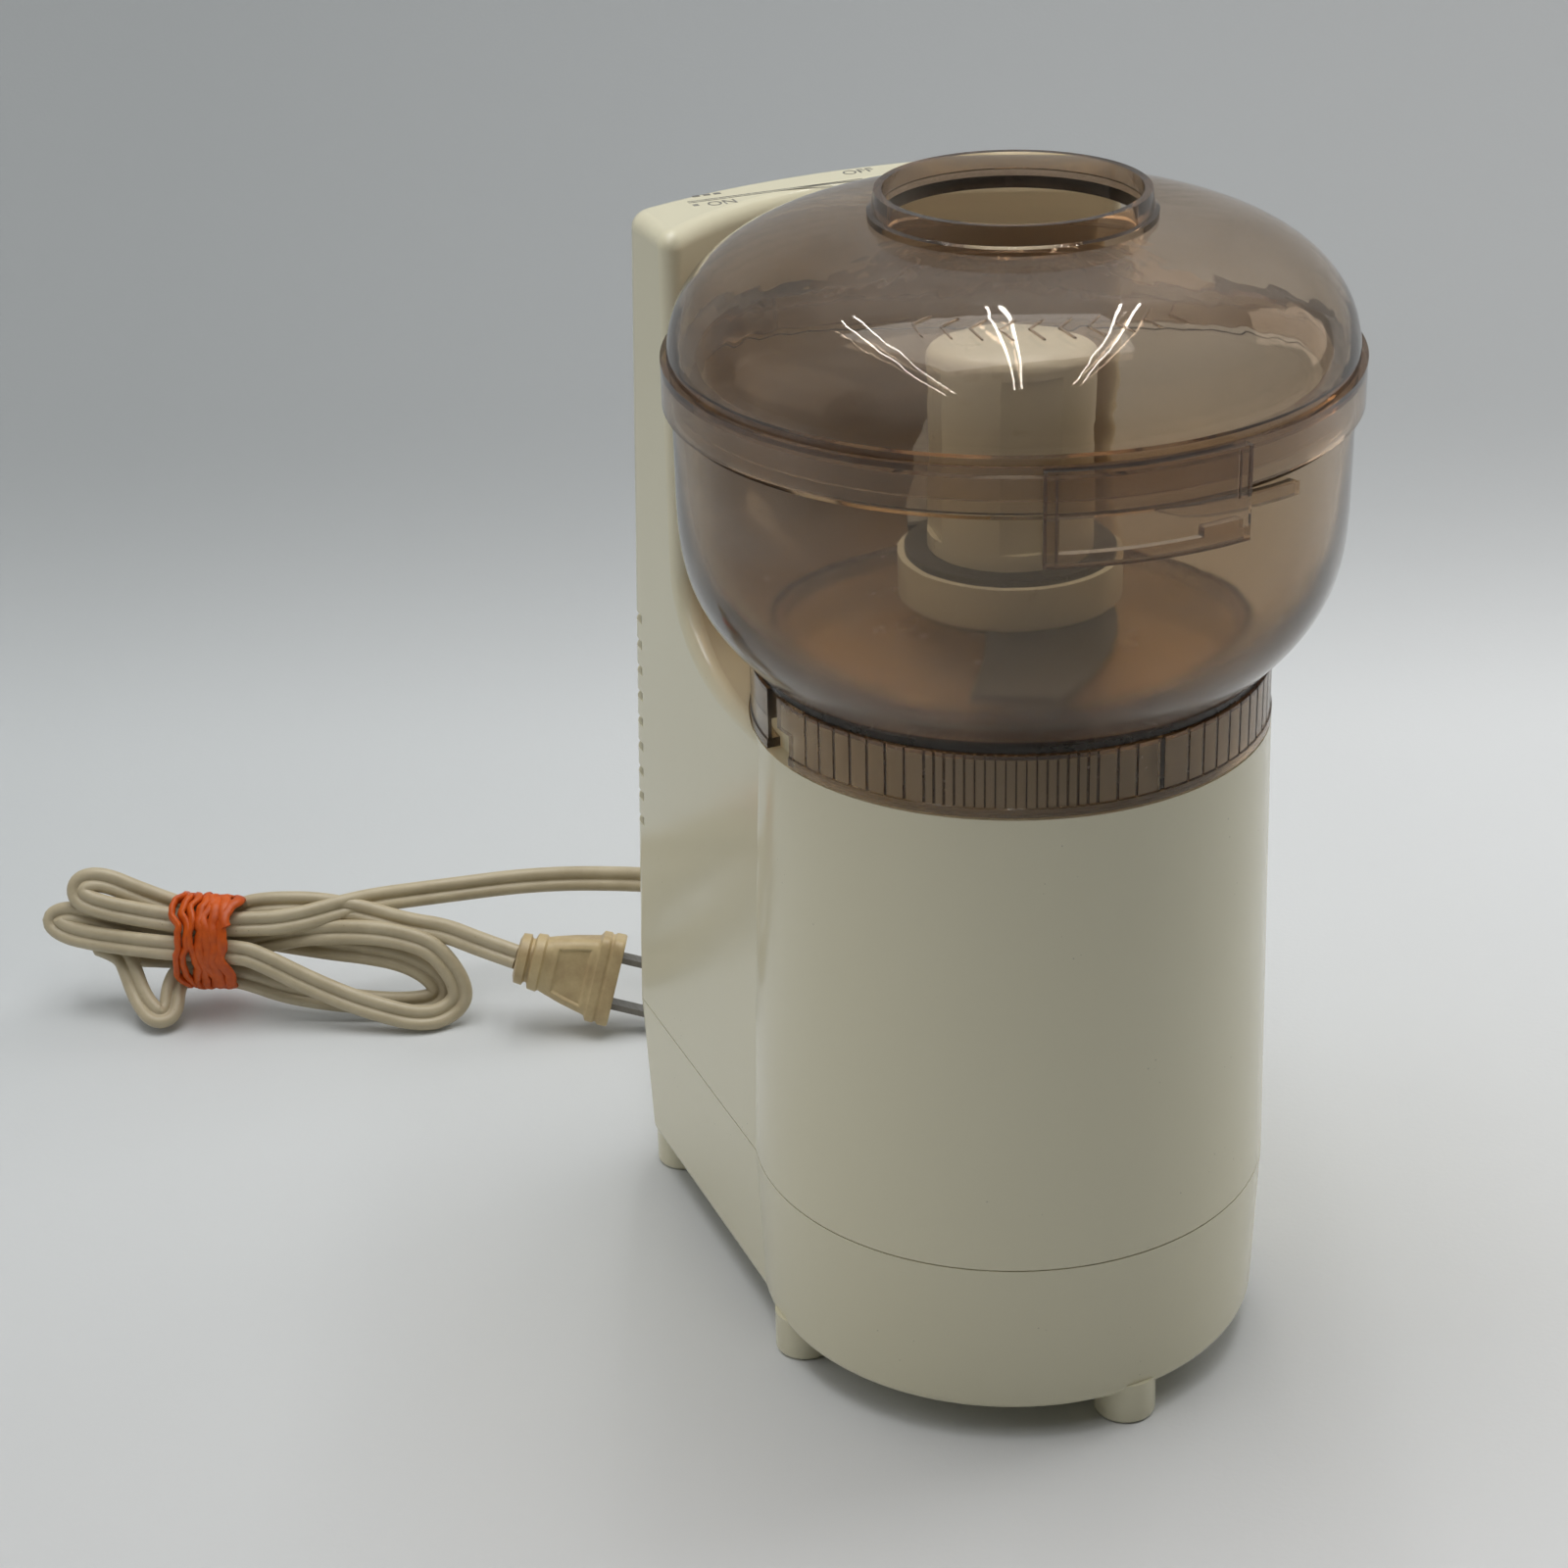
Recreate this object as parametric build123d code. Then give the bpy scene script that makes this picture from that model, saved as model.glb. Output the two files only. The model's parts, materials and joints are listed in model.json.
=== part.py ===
from build123d import *

import math
import os

# Mini food chopper: a round motor housing with a tall column behind it, a bowl and
# domed lid that lock on by turning, and a bladed hub on a geared-down spindle.
# Everything is built about the bowl axis, z up from the floor, front towards -Y,
# in millimetres, and moved at the end so that the housing's box is centred on the origin.

os.makedirs("parts", exist_ok=True)

# ---------------------------------------------------------------- driving dimensions
# Levels of the housing
FOOT_HEIGHT = 7.4          # floor to the underside of the base shell
BASE_HEIGHT = 36.9         # base shell, up to the parting line
BODY_HEIGHT = 103.7        # parting line to the deck under the bowl
COLUMN_RISE = 93.5         # deck to the top of the column
WALL = 2.4                 # moulded wall of both housing shells
PLATE = 2.6                # floor of the base, deck and column top
SEAM = 0.3                 # open joint between the two shells
PARTING_Z = FOOT_HEIGHT + BASE_HEIGHT
DECK_Z = PARTING_Z + BODY_HEIGHT
COLUMN_Z = DECK_Z + COLUMN_RISE
CEILING_Z = DECK_Z - PLATE

# Clearances
FIT = 0.05                 # radial clearance of a running or located fit
PRESS = 0.01               # radial clearance of a piece fixed on a shaft
HOLE_CLEARANCE = 0.3       # round a screw, plunger or cord sleeve

# Bowl, and the skirt that locks it on the deck
BOWL_RADIUS = 68.2         # outside, near the rim
BOWL_DEPTH = 52.6          # underside of the floor to where the outside steps in
BOWL_WALL = 2.2
BOWL_FLOOR = 2.6
BOWL_RISE = 15.4           # deck to the underside of the bowl floor
RIM_STEP = 0.5             # step in at the rim, under the lid's band
RIM_HEIGHT = 7.9
SKIRT_RADIUS = 54.0
SKIRT_WALL = 2.6
SKIRT_HEIGHT = 13.2
SKIRT_GAP = 0.5            # skirt's lower edge above the deck
NECK_STEP = 2.0            # waist between the skirt and the bowl
BEAD_HEIGHT = 1.8
BEAD_PROUD = 0.3
GROOVES_FROM = 13.7        # degrees past a gap
GROOVES_TO = 164.0
GROOVE_PITCH = 4.4
GROOVE_WIDTH = 0.55
GROOVE_DEPTH = 0.5
FINE_FROM = 44.0           # finer grooves, degrees past a gap
FINE_TO = 79.0
FINE_PITCH = 2.15
NOTCH_TURN = 96.0          # deeper notch between two plain stretches
NOTCH_MARGIN = 4.0
NOTCH_WIDTH = 1.2
NOTCH_DEPTH = 1.2
GAP_TURN = -88.0           # bayonet gap, degrees from the front towards +X
GAP_WIDTH = 5.0            # degrees
BOWL_TRAVEL = 14.0         # degrees from locked to lift-off
BOWL_FLOOR_Z = DECK_Z + BOWL_RISE
FLOOR_TOP_Z = BOWL_FLOOR_Z + BOWL_FLOOR
RIM_Z = BOWL_FLOOR_Z + BOWL_DEPTH
RIM_TOP_Z = RIM_Z + RIM_HEIGHT
RIM_RADIUS = BOWL_RADIUS - RIM_STEP
BOWL_FOOT_RADIUS = SKIRT_RADIUS - 0.44     # where the outside leaves the floor
SKIRT_BORE = SKIRT_RADIUS - SKIRT_WALL
SKIRT_LOW_Z = DECK_Z + SKIRT_GAP
SKIRT_TOP_Z = SKIRT_LOW_Z + SKIRT_HEIGHT
SHOULDER_Z = BOWL_FLOOR_Z - 3.4

# Spigot that the bowl's skirt goes over
SPIGOT_WALL = 2.4
SPIGOT_CLEARANCE = 0.5
LUG_PROUD = 2.0
LUG_HEIGHT = 3.6
LUG_WIDTH = 5.0            # degrees
LUG_RISE = 3.0             # underside of the lug above the deck
LUG_GAP = 0.4              # room above and below a lug in its slot
SPIGOT_RADIUS = SKIRT_BORE - SPIGOT_CLEARANCE
LUG_LOW_Z = DECK_Z + LUG_RISE
LUG_TOP_Z = LUG_LOW_Z + LUG_HEIGHT

# Lid
BAND_WALL = 1.8
BAND_HEIGHT = 9.0
BAND_RISE = 1.6            # rim step to the band's lower edge
BAND_LEDGE = 1.3           # band to the foot of the dome
DOME_RISE = 26.7
LID_CLEARANCE = 0.5
LID_WALL = 2.0
LID_PLUG_WALL = 1.5        # ring that goes down inside the rim
LID_PLUG_DEPTH = 5.0
NECK_OUTER = 28.6
NECK_WALL = 1.6
NECK_TAPER = 1.4
NECK_HEIGHT = 5.4
LID_TRAVEL = 20.0          # degrees from locked to lift-off
TAB_LEFT = -21.0           # lock tab, degrees from the front
TAB_RIGHT = 12.0
TAB_DROP = 9.6             # band's lower edge to the tab's
TAB_WALL = 2.2             # tab's face in front of the band
TAB_LIP = 2.2
RAMP_LEFT = -4.0
RAMP_RIGHT = 24.0
RAMP_PROUD = 2.4
RAMP_THICKNESS = 2.6
RAMP_DROP = 2.1
RAMP_GAP = 0.3             # between the ramp and what hooks under it
BAND_Z = RIM_Z + BAND_RISE
BAND_TOP_Z = BAND_Z + BAND_HEIGHT
DOME_TOP_Z = BAND_TOP_Z + DOME_RISE
NECK_TOP_Z = DOME_TOP_Z + NECK_HEIGHT
NECK_TOP_OUTER = NECK_OUTER - NECK_TAPER
NECK_BORE = NECK_TOP_OUTER - NECK_WALL
LID_RADIUS = RIM_RADIUS + LID_CLEARANCE + BAND_WALL
DOME_RADIUS = LID_RADIUS - BAND_LEDGE
TAB_RADIUS = LID_RADIUS + TAB_WALL
TAB_LOW_Z = BAND_Z - TAB_DROP

# Interlock: a spiral cam on the lid pushes a plunger through the column's hollow
CAM_TURN = 115.0           # plunger direction, degrees from +X
CAM_PROUD = 2.9
CAM_RISE = 2.4
CAM_GAP = 0.3
PLUNGER_RADIUS = 2.6
PLUNGER_FLANGE = 4.5
PLUNGER_FLANGE_WALL = 1.4
BUTTON_RADIUS = 1.4
BUTTON_TRAVEL_LEFT = 0.9   # of the button outside the switch when it is held down
SWITCH_DEPTH = 5.6
SWITCH_WIDTH = 11.0
SWITCH_HEIGHT = 9.0
SWITCH_EAR_SPACING = 15.6
SWITCH_EAR = 2.0
SWITCH_EAR_HEIGHT = 6.0
SWITCH_SCREW_RADIUS = 1.0
SWITCH_SCREW_HEAD = 1.9
SWITCH_SCREW_LENGTH = 6.0
SWITCH_POST_RADIUS = 2.4
CAM_RADIUS = LID_RADIUS + CAM_PROUD
RECESS_RADIUS = CAM_RADIUS + 0.6           # hollow of the column round the bowl
SWITCH_FRONT = RECESS_RADIUS + WALL + 5.2
PLUNGER_BACK = SWITCH_FRONT - BUTTON_TRAVEL_LEFT
PLUNGER_Z = BAND_Z + BAND_HEIGHT / 2

# Plan of the housing
DECK_RADIUS = SKIRT_RADIUS + 0.3           # round front at the deck
BASE_RADIUS_HIGH = DECK_RADIUS + 2.0       # round front at the parting line
BASE_RADIUS_LOW = BASE_RADIUS_HIGH - 1.3   # round front of the base at its underside
COLUMN_HALF_MID = BASE_RADIUS_HIGH - 1.8   # flat sides at the parting line
COLUMN_HALF_LOW = COLUMN_HALF_MID - 0.9    # flat sides at the underside
COLUMN_HALF_TOP = COLUMN_HALF_MID - 0.9    # flat sides at the top
COLUMN_DEPTH = 13.3                        # hollow to the back at the top
REAR_TOP = RECESS_RADIUS + COLUMN_DEPTH    # bowl axis to the back at the top
REAR_REACH = REAR_TOP + 16.2               # bowl axis to the back at the parting line
REAR_LOW = REAR_REACH - 3.0                # bowl axis to the back at the underside
REAR_BOW = 140.0           # radius of the bowed back
CORNER_RADIUS = 6.5        # upright rear corners
TOP_ROUNDING = 3.5         # edge round the column's top
BOTTOM_ROUNDING = 3.0      # edge round the base's underside
FRONT_ROUNDING = 3.0       # upright front edges of the column
COVE_RADIUS = RECESS_RADIUS - DECK_RADIUS - 0.2    # cove from the hollow down to the deck
COVE_RISE = 1.0            # lowest point of the cove above the deck
BOWL_Y = -(REAR_REACH - TAB_RADIUS) / 2

# Feet and the screws up inside them
FOOT_RADIUS = 6.6
FOOT_ROUNDING = 1.0
FRONT_FOOT_TURN = 6.0      # degrees from the middle of the front
SCREW_RADIUS = 1.75
SCREW_HEAD_RADIUS = 3.3
SCREW_HEAD_HEIGHT = 2.4
SCREW_SLOT = 1.0
SCREW_BORE_CLEARANCE = 0.5
BOSS_RADIUS = 5.4
BOSS_HEIGHT = 24.0
FOOT_REACH = BASE_RADIUS_LOW - 5.6         # front and side feet from the bowl axis
REAR_FOOT_X = COLUMN_HALF_LOW - 6.8
REAR_FOOT_Y = REAR_LOW - 16.0
SCREW_SEAT_Z = FOOT_HEIGHT + PLATE + 6.0
SCREW_LENGTH = PARTING_Z - SCREW_SEAT_Z + BOSS_HEIGHT - 6.3

# Vents in the back
VENT_COUNT = 9
VENT_PITCH = 6.55
VENT_HEIGHT = 2.2
VENT_INNER_X = 14.0
VENT_TOP = DECK_Z - 0.9

# Spindle, blades and their hub, each sized to go over the last
SPINDLE_RADIUS = 4.0
SPINDLE_DRIVE = 19.0       # length of the six-sided end
SPINDLE_TAIL = 5.5         # below the gear plate
CLIP_GROOVE = 1.1
CLIP_WALL = 2.6
BUSH_WALL = 2.4
BUSH_FLANGE = 1.4
UPPER_BUSH_LENGTH = 12.0
LOWER_BUSH_LENGTH = 5.5
SEAL_HEIGHT = 1.8
TOWER_WALL = 3.1
CHIMNEY_WALL = 2.0
CHIMNEY_HEIGHT = 40.6
HUB_WALL = 3.6
HUB_CAP = 9.0              # spindle's end to the top of the hub
HUB_ROUNDING = 5.5
HUB_PANEL_TURN = -101.0    # direction of one flat panel on the hub
HUB_PANEL_WIDTH = 18.0
HUB_PANEL_DEPTH = 1.2
FLANGE_RISE = 7.5          # bowl floor to the flange
FLANGE_HEIGHT = 9.7
FLANGE_PROUD = 6.1
BLADE_THICKNESS = 1.5
LOW_BLADE_TURN = -90.0     # direction of the low blade's root, degrees from +X
LOW_BLADE_DIP = 3.0
HIGH_BLADE_LIFT = 14.0
SPINDLE_HEX = 2 * SPINDLE_RADIUS - 1.0     # across flats of the drive end
BUSH_RADIUS = SPINDLE_RADIUS + BUSH_WALL
TOWER_RADIUS = BUSH_RADIUS + TOWER_WALL
CHIMNEY_BORE = TOWER_RADIUS + 0.9
CHIMNEY_RADIUS = CHIMNEY_BORE + CHIMNEY_WALL
CHIMNEY_TOP_Z = BOWL_FLOOR_Z + CHIMNEY_HEIGHT
TOWER_TOP_Z = CHIMNEY_TOP_Z - 4.0
SPINDLE_HEX_TOP_Z = CHIMNEY_TOP_Z + SPINDLE_DRIVE
HUB_BORE = CHIMNEY_RADIUS + 1.0
HUB_RADIUS = HUB_BORE + HUB_WALL
HUB_TOP_Z = SPINDLE_HEX_TOP_Z + HUB_CAP
FLANGE_RADIUS = HUB_RADIUS + FLANGE_PROUD
FLANGE_LOW_Z = FLOOR_TOP_Z + FLANGE_RISE
FLANGE_TOP_Z = FLANGE_LOW_Z + FLANGE_HEIGHT
BLADE_RING_RADIUS = FLANGE_RADIUS - 1.4
BLADE_REACH = BOWL_FOOT_RADIUS - 3.06

# Gears
MODULE = 0.8
PINION_TEETH = 11
GEAR_TEETH = 54
PRESSURE_ANGLE = 20.0
PROFILE_SHIFT = 0.4
BACKLASH = 0.08
GEAR_WIDTH = 7.0
GEAR_RIM = 4.0
GEAR_WEB_SETBACK = 2.2
GEAR_HUB_RADIUS = 9.0
GEAR_PLATE = 2.5
GEAR_PLATE_MARGIN = 5.0
GEAR_POST_RADIUS = 4.2
GEAR_POST_X = 33.0
GEAR_POST_FRONT_Y = -17.0
GEAR_POST_REAR_Y = 41.0
PLATE_SCREW_LENGTH = 12.0
MOTOR_Y = MODULE * (PINION_TEETH + GEAR_TEETH) / 2
GEAR_LOW_Z = CEILING_Z - 13.4
GEAR_PLATE_TOP_Z = GEAR_LOW_Z - 5.5
GEAR_PLATE_LOW_Z = GEAR_PLATE_TOP_Z - GEAR_PLATE

# Motor, hung from the gear plate
SHAFT_RADIUS = 3.0
STATOR_WIDTH = 60.0
STATOR_DEPTH = 50.0
STATOR_CORNER = 9.0
STACK_HEIGHT = 28.0
ROTOR_RADIUS = 15.6
ROTOR_SLOTS = 12
ROTOR_SLOT_WIDTH = 2.2
ROTOR_SLOT_DEPTH = 5.0
AIR_GAP = 0.6
COIL_WINDOW_X = (12.8, 19.8)
COIL_WINDOW_Y = (13.4, 19.9)
COIL_OVERHANG = 5.8
COIL_GAP = 0.2
COMMUTATOR_RADIUS = 9.5
COMMUTATOR_LENGTH = 9.0
COMMUTATOR_BARS = 24
BRUSH_SIZE = 5.0
BRUSH_REACH = 20.0
BRUSH_HOLDER_REACH = 28.0
FAN_RADIUS = 24.0
FAN_BLADES = 12
FAN_HEIGHT = 8.0
BEARING_RADIUS = 6.5
BEARING_WALL = 2.2
BRACKET = 3.0
MOTOR_SCREW_RADIUS = 1.7
MOTOR_SCREW_INSET = 5.0
MOTOR_SCREW_CLEARANCE = 0.2
MOTOR_SLEEVE_RADIUS = 3.6
MOTOR = Pos(0, MOTOR_Y, 0)
UPPER_BRACKET_Z = GEAR_PLATE_LOW_Z - 9.0
STACK_TOP_Z = UPPER_BRACKET_Z - 7.0
STACK_LOW_Z = STACK_TOP_Z - STACK_HEIGHT
LOWER_BRACKET_Z = STACK_LOW_Z - 21.0
COMMUTATOR_LOW_Z = LOWER_BRACKET_Z + 6.0
BRUSH_Z = COMMUTATOR_LOW_Z + COMMUTATOR_LENGTH / 2
FAN_LOW_Z = LOWER_BRACKET_Z - 17.0

# Cord: flat two-core lead, a tied hank and a two-blade plug
CORD_DIAMETER = 6.6
CORD_EXIT_Z = 33.0
RELIEF_LENGTH = 22.0
RELIEF_NECK = 5.0
RELIEF_FLANGE = 8.0
RELIEF_RIBS = 4
TIE_WIDTH = 17.0
TIE_THICKNESS = 1.4
TIE_HALF_WIDTH = 8.2
TIE_HALF_HEIGHT = 11.8
PLUG_WIDTH = 25.0
PLUG_THICKNESS = 12.0
PLUG_LENGTH = 27.0
PLUG_RIM = 3.0
PLUG_COLLAR_RADIUS = 5.4
PRONG_SPACING = 12.7
PRONG_LENGTH = 16.0
PRONG_WIDTH = 6.3
PRONG_THICKNESS = 1.5
RELIEF_Y = REAR_LOW + (REAR_REACH - REAR_LOW) * (CORD_EXIT_Z - FOOT_HEIGHT) / BASE_HEIGHT
CORD_EXIT = Vector(0, RELIEF_Y + RELIEF_LENGTH, CORD_EXIT_Z)


def front(turn):
    """Turn a piece drawn along +X to an angle measured from the front towards +X."""
    return Rot(0, 0, turn - 90)


def cylinder(radius, low, high, x=0.0, y=0.0):
    """Upright cylinder between two heights."""
    return Pos(x, y, low) * Cylinder(radius, high - low, align=(Align.CENTER, Align.CENTER, Align.MIN))


def tube(outer, inner, low, high, x=0.0, y=0.0):
    """Upright tube between two heights."""
    return cylinder(outer, low, high, x, y) - cylinder(inner, low - 1, high + 1, x, y)


def block(x_low, x_high, y_low, y_high, z_low, z_high):
    """Box between two corners."""
    corner = Pos(x_low, y_low, z_low)
    return corner * Box(x_high - x_low, y_high - y_low, z_high - z_low, align=Align.MIN)


def spin(*edges):
    """Revolve a closed outline, drawn as (radius, height) edges, about the bowl axis."""
    outline = Curve() + list(edges)
    return revolve(make_face(Plane.XZ * outline), Axis.Z)


def sector(inner, outer, start, end, low, high):
    """Part of a tube between two angles measured from the front towards +X."""
    middle = (start + end) / 2
    half = math.radians((end - start) / 2)
    far = outer * 2
    wedge = Polygon((0, 0), (far * math.cos(half), -far * math.sin(half)),
                    (far, 0), (far * math.cos(half), far * math.sin(half)), align=None)
    wedge = Pos(0, 0, low) * extrude(wedge, high - low)
    return tube(outer, inner, low, high) & (front(middle) * wedge)


def between(low_value, high_value, low_z, high_z, z):
    """Straight-line value at one height."""
    return low_value + (high_value - low_value) * (z - low_z) / (high_z - low_z)


# ---------------------------------------------------------------- housing shells
def column_plan(z, half, rear, corner):
    """Plan of the column at one height: flat sides, rounded corners and a bowed back."""
    bow = REAR_BOW - math.sqrt(REAR_BOW ** 2 - half ** 2)
    outline = Curve() + [
        Line((-half, 0), (-half, rear - bow)),
        ThreePointArc((-half, rear - bow), (0, rear), (half, rear - bow)),
        Line((half, rear - bow), (half, 0)),
        Line((half, 0), (-half, 0)),
    ]
    face = make_face(outline)
    corners = face.vertices().group_by(Axis.Y)[-1]
    return Pos(0, 0, z) * fillet(corners, corner)


def column_mass(low, high, halves, rears, inset):
    """Tapered column between two heights, drawn in by an inset for the hollow inside it."""
    corner = CORNER_RADIUS - inset
    plans = [column_plan(z, half - inset, rear - inset, corner)
             for z, half, rear in zip((low, high), halves, rears)]
    return loft(plans, ruled=True)


def round_mass(low, high, radius_low, radius_high, inset):
    """Tapered round front between two heights."""
    cone = Cone(radius_low - inset, radius_high - inset, high - low,
                align=(Align.CENTER, Align.CENTER, Align.MIN))
    return Pos(0, 0, low) * cone


def bowl_hollow(deck, wall):
    """Space over the deck that the bowl and lid turn in, grown by a wall for the inside."""
    top = COLUMN_Z + 20
    radius = RECESS_RADIUS + wall
    centre_r = RECESS_RADIUS - COVE_RADIUS
    centre_z = DECK_Z + COVE_RADIUS + COVE_RISE
    reach = COVE_RADIUS + wall
    middle = (centre_r + reach * math.sin(math.pi / 4), centre_z - reach * math.cos(math.pi / 4))
    return spin(
        Line((0, deck), (centre_r, deck)),
        Line((centre_r, deck), (centre_r, centre_z - reach)),
        ThreePointArc((centre_r, centre_z - reach), middle, (radius, centre_z)),
        Line((radius, centre_z), (radius, top)),
        Line((radius, top), (0, top)),
        Line((0, top), (0, deck)),
    )


def foot_places():
    """Centres of the five feet, which are also those of the housing screws."""
    turn = math.radians(FRONT_FOOT_TURN)
    return [
        (FOOT_REACH * math.sin(turn), -FOOT_REACH * math.cos(turn)),
        (-FOOT_REACH, 0.0),
        (FOOT_REACH, 0.0),
        (-REAR_FOOT_X, REAR_FOOT_Y),
        (REAR_FOOT_X, REAR_FOOT_Y),
    ]


def gear_plate_places():
    """Centres of the four posts that carry the gear plate."""
    return [(x, y) for x in (-GEAR_POST_X, GEAR_POST_X) for y in (GEAR_POST_FRONT_Y, GEAR_POST_REAR_Y)]


def plunger_frame(distance):
    """Place at a distance along the plunger's line, x outwards along it and z up."""
    return Rot(0, 0, CAM_TURN) * Pos(distance, 0, PLUNGER_Z)


def outwards(radius, start, length):
    """Cylinder along the plunger's line."""
    return plunger_frame(start) * Rot(0, 90, 0) * Cylinder(
        radius, length, align=(Align.CENTER, Align.CENTER, Align.MIN))


def is_column_front(edge):
    """Whether an edge is where the hollow meets a flat side of the column."""
    box = edge.bounding_box()
    on_side = abs(edge.center().X) > COLUMN_HALF_TOP - 1
    return on_side and box.size.Z > 10 and box.min.Z > DECK_Z + 0.5 and box.max.Y < RECESS_RADIUS - 10


def upper_housing():
    """Round body, deck with its spigot and spindle tower, and the column behind."""
    low = PARTING_Z + SEAM / 2
    halves = (COLUMN_HALF_MID, COLUMN_HALF_TOP)
    rears = (REAR_REACH, REAR_TOP)
    column = column_mass(low, COLUMN_Z, halves, rears, 0) - bowl_hollow(DECK_Z, 0)
    column = fillet(column.edges().filter_by(is_column_front), FRONT_ROUNDING)
    lip = column.edges().filter_by(lambda edge: edge.center().Z > COLUMN_Z - 0.01)
    column = fillet(lip, TOP_ROUNDING)
    shell = column + round_mass(low, DECK_Z, BASE_RADIUS_HIGH, DECK_RADIUS, 0)

    inside = column_mass(low - 1, COLUMN_Z - PLATE, halves, rears, WALL)
    inside += round_mass(low - 1, CEILING_Z, BASE_RADIUS_HIGH, DECK_RADIUS, WALL)
    inside -= bowl_hollow(CEILING_Z, WALL)
    shell -= inside

    spigot_top = SHOULDER_Z - HOLE_CLEARANCE
    shell += tube(SPIGOT_RADIUS, SPIGOT_RADIUS - SPIGOT_WALL, DECK_Z, spigot_top)
    for turn in (GAP_TURN - BOWL_TRAVEL, GAP_TURN - BOWL_TRAVEL + 180):
        shell += sector(SPIGOT_RADIUS - 1, SPIGOT_RADIUS + LUG_PROUD, turn - LUG_WIDTH / 2,
                        turn + LUG_WIDTH / 2, LUG_LOW_Z, LUG_TOP_Z)

    shell += cylinder(TOWER_RADIUS, CEILING_Z, TOWER_TOP_Z)
    shell -= cylinder(BUSH_RADIUS, CEILING_Z - 1, TOWER_TOP_Z + 1)

    pilot_top = PARTING_Z + BOSS_HEIGHT - 3
    for x, y in foot_places():
        shell += cylinder(BOSS_RADIUS, PARTING_Z, PARTING_Z + BOSS_HEIGHT, x, y)
        shell -= cylinder(SCREW_RADIUS + FIT, PARTING_Z - 1, pilot_top, x, y)
    for x, y in gear_plate_places():
        shell += cylinder(GEAR_POST_RADIUS, GEAR_PLATE_TOP_Z, CEILING_Z + 0.5, x, y)
        shell -= cylinder(SCREW_RADIUS + FIT, GEAR_PLATE_TOP_Z - 1,
                          GEAR_PLATE_LOW_Z + PLATE_SCREW_LENGTH + 1, x, y)

    for side in (-1, 1):
        for row in range(VENT_COUNT):
            z = VENT_TOP - row * VENT_PITCH
            half = between(COLUMN_HALF_MID, COLUMN_HALF_TOP, PARTING_Z, COLUMN_Z, z)
            rear = between(REAR_REACH, REAR_TOP, PARTING_Z, COLUMN_Z, z)
            bow = REAR_BOW - math.sqrt(REAR_BOW ** 2 - half ** 2)
            x_low, x_high = sorted((side * VENT_INNER_X, side * (half + 5)))
            slot = block(x_low, x_high, rear - bow - CORNER_RADIUS, rear + 5,
                         z - VENT_HEIGHT / 2, z + VENT_HEIGHT / 2)
            shell -= slot

    shell -= outwards(PLUNGER_RADIUS + HOLE_CLEARANCE, RECESS_RADIUS - 3, WALL + 6)
    for side in (-1, 1):
        across = Pos(0, side * SWITCH_EAR_SPACING / 2, 0)
        start = RECESS_RADIUS + WALL / 2
        post = Rot(0, 90, 0) * Cylinder(SWITCH_POST_RADIUS, SWITCH_FRONT - start,
                                        align=(Align.CENTER, Align.CENTER, Align.MIN))
        shell += plunger_frame(start) * across * post
        pilot = Rot(0, 90, 0) * Cylinder(SWITCH_SCREW_RADIUS + FIT, SWITCH_SCREW_LENGTH - SWITCH_EAR + 0.2,
                                         align=(Align.CENTER, Align.CENTER, Align.MAX))
        shell -= plunger_frame(SWITCH_FRONT) * across * pilot
    return shell


def base_housing():
    """Shallow lower shell with five hollow feet moulded on it."""
    high = PARTING_Z - SEAM / 2
    halves = (COLUMN_HALF_LOW, COLUMN_HALF_MID)
    rears = (REAR_LOW, REAR_REACH)
    shell = column_mass(FOOT_HEIGHT, high, halves, rears, 0)
    shell += round_mass(FOOT_HEIGHT, high, BASE_RADIUS_LOW, BASE_RADIUS_HIGH, 0)
    rim = shell.edges().filter_by(lambda edge: edge.center().Z < FOOT_HEIGHT + 0.01)
    shell = fillet(rim, BOTTOM_ROUNDING)

    floor = FOOT_HEIGHT + PLATE
    inside = column_mass(floor, high + 1, halves, rears, WALL)
    inside += round_mass(floor, high + 1, BASE_RADIUS_LOW, BASE_RADIUS_HIGH, WALL)
    shell -= inside

    for x, y in foot_places():
        foot = cylinder(FOOT_RADIUS, 0, floor, x, y)
        foot = fillet(foot.edges().group_by(Axis.Z)[0], FOOT_ROUNDING)
        shell += foot
        shell += cylinder(BOSS_RADIUS, FOOT_HEIGHT, PARTING_Z, x, y)
        shell -= cylinder(SCREW_HEAD_RADIUS + SCREW_BORE_CLEARANCE, -1, SCREW_SEAT_Z, x, y)
        shell -= cylinder(SCREW_RADIUS + HOLE_CLEARANCE, 0, PARTING_Z + 1, x, y)

    relief_hole = Pos(0, RELIEF_Y - 8, CORD_EXIT_Z) * Rot(-90, 0, 0) * Cylinder(
        RELIEF_NECK + HOLE_CLEARANCE / 2, 16, align=(Align.CENTER, Align.CENTER, Align.MIN))
    return shell - relief_hole


def housing_screws():
    """Five long screws that hold the base to the body from inside the feet."""
    screws = Part()
    for x, y in foot_places():
        screw = cylinder(SCREW_RADIUS, SCREW_SEAT_Z, SCREW_SEAT_Z + SCREW_LENGTH, x, y)
        screw += cylinder(SCREW_HEAD_RADIUS, SCREW_SEAT_Z - SCREW_HEAD_HEIGHT, SCREW_SEAT_Z, x, y)
        slot = block(x - 2 * SCREW_HEAD_RADIUS, x + 2 * SCREW_HEAD_RADIUS, y - SCREW_SLOT / 2,
                     y + SCREW_SLOT / 2, SCREW_SEAT_Z - SCREW_HEAD_HEIGHT - 1,
                     SCREW_SEAT_Z - SCREW_HEAD_HEIGHT + SCREW_SLOT)
        screws += screw - slot
    return screws


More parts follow.
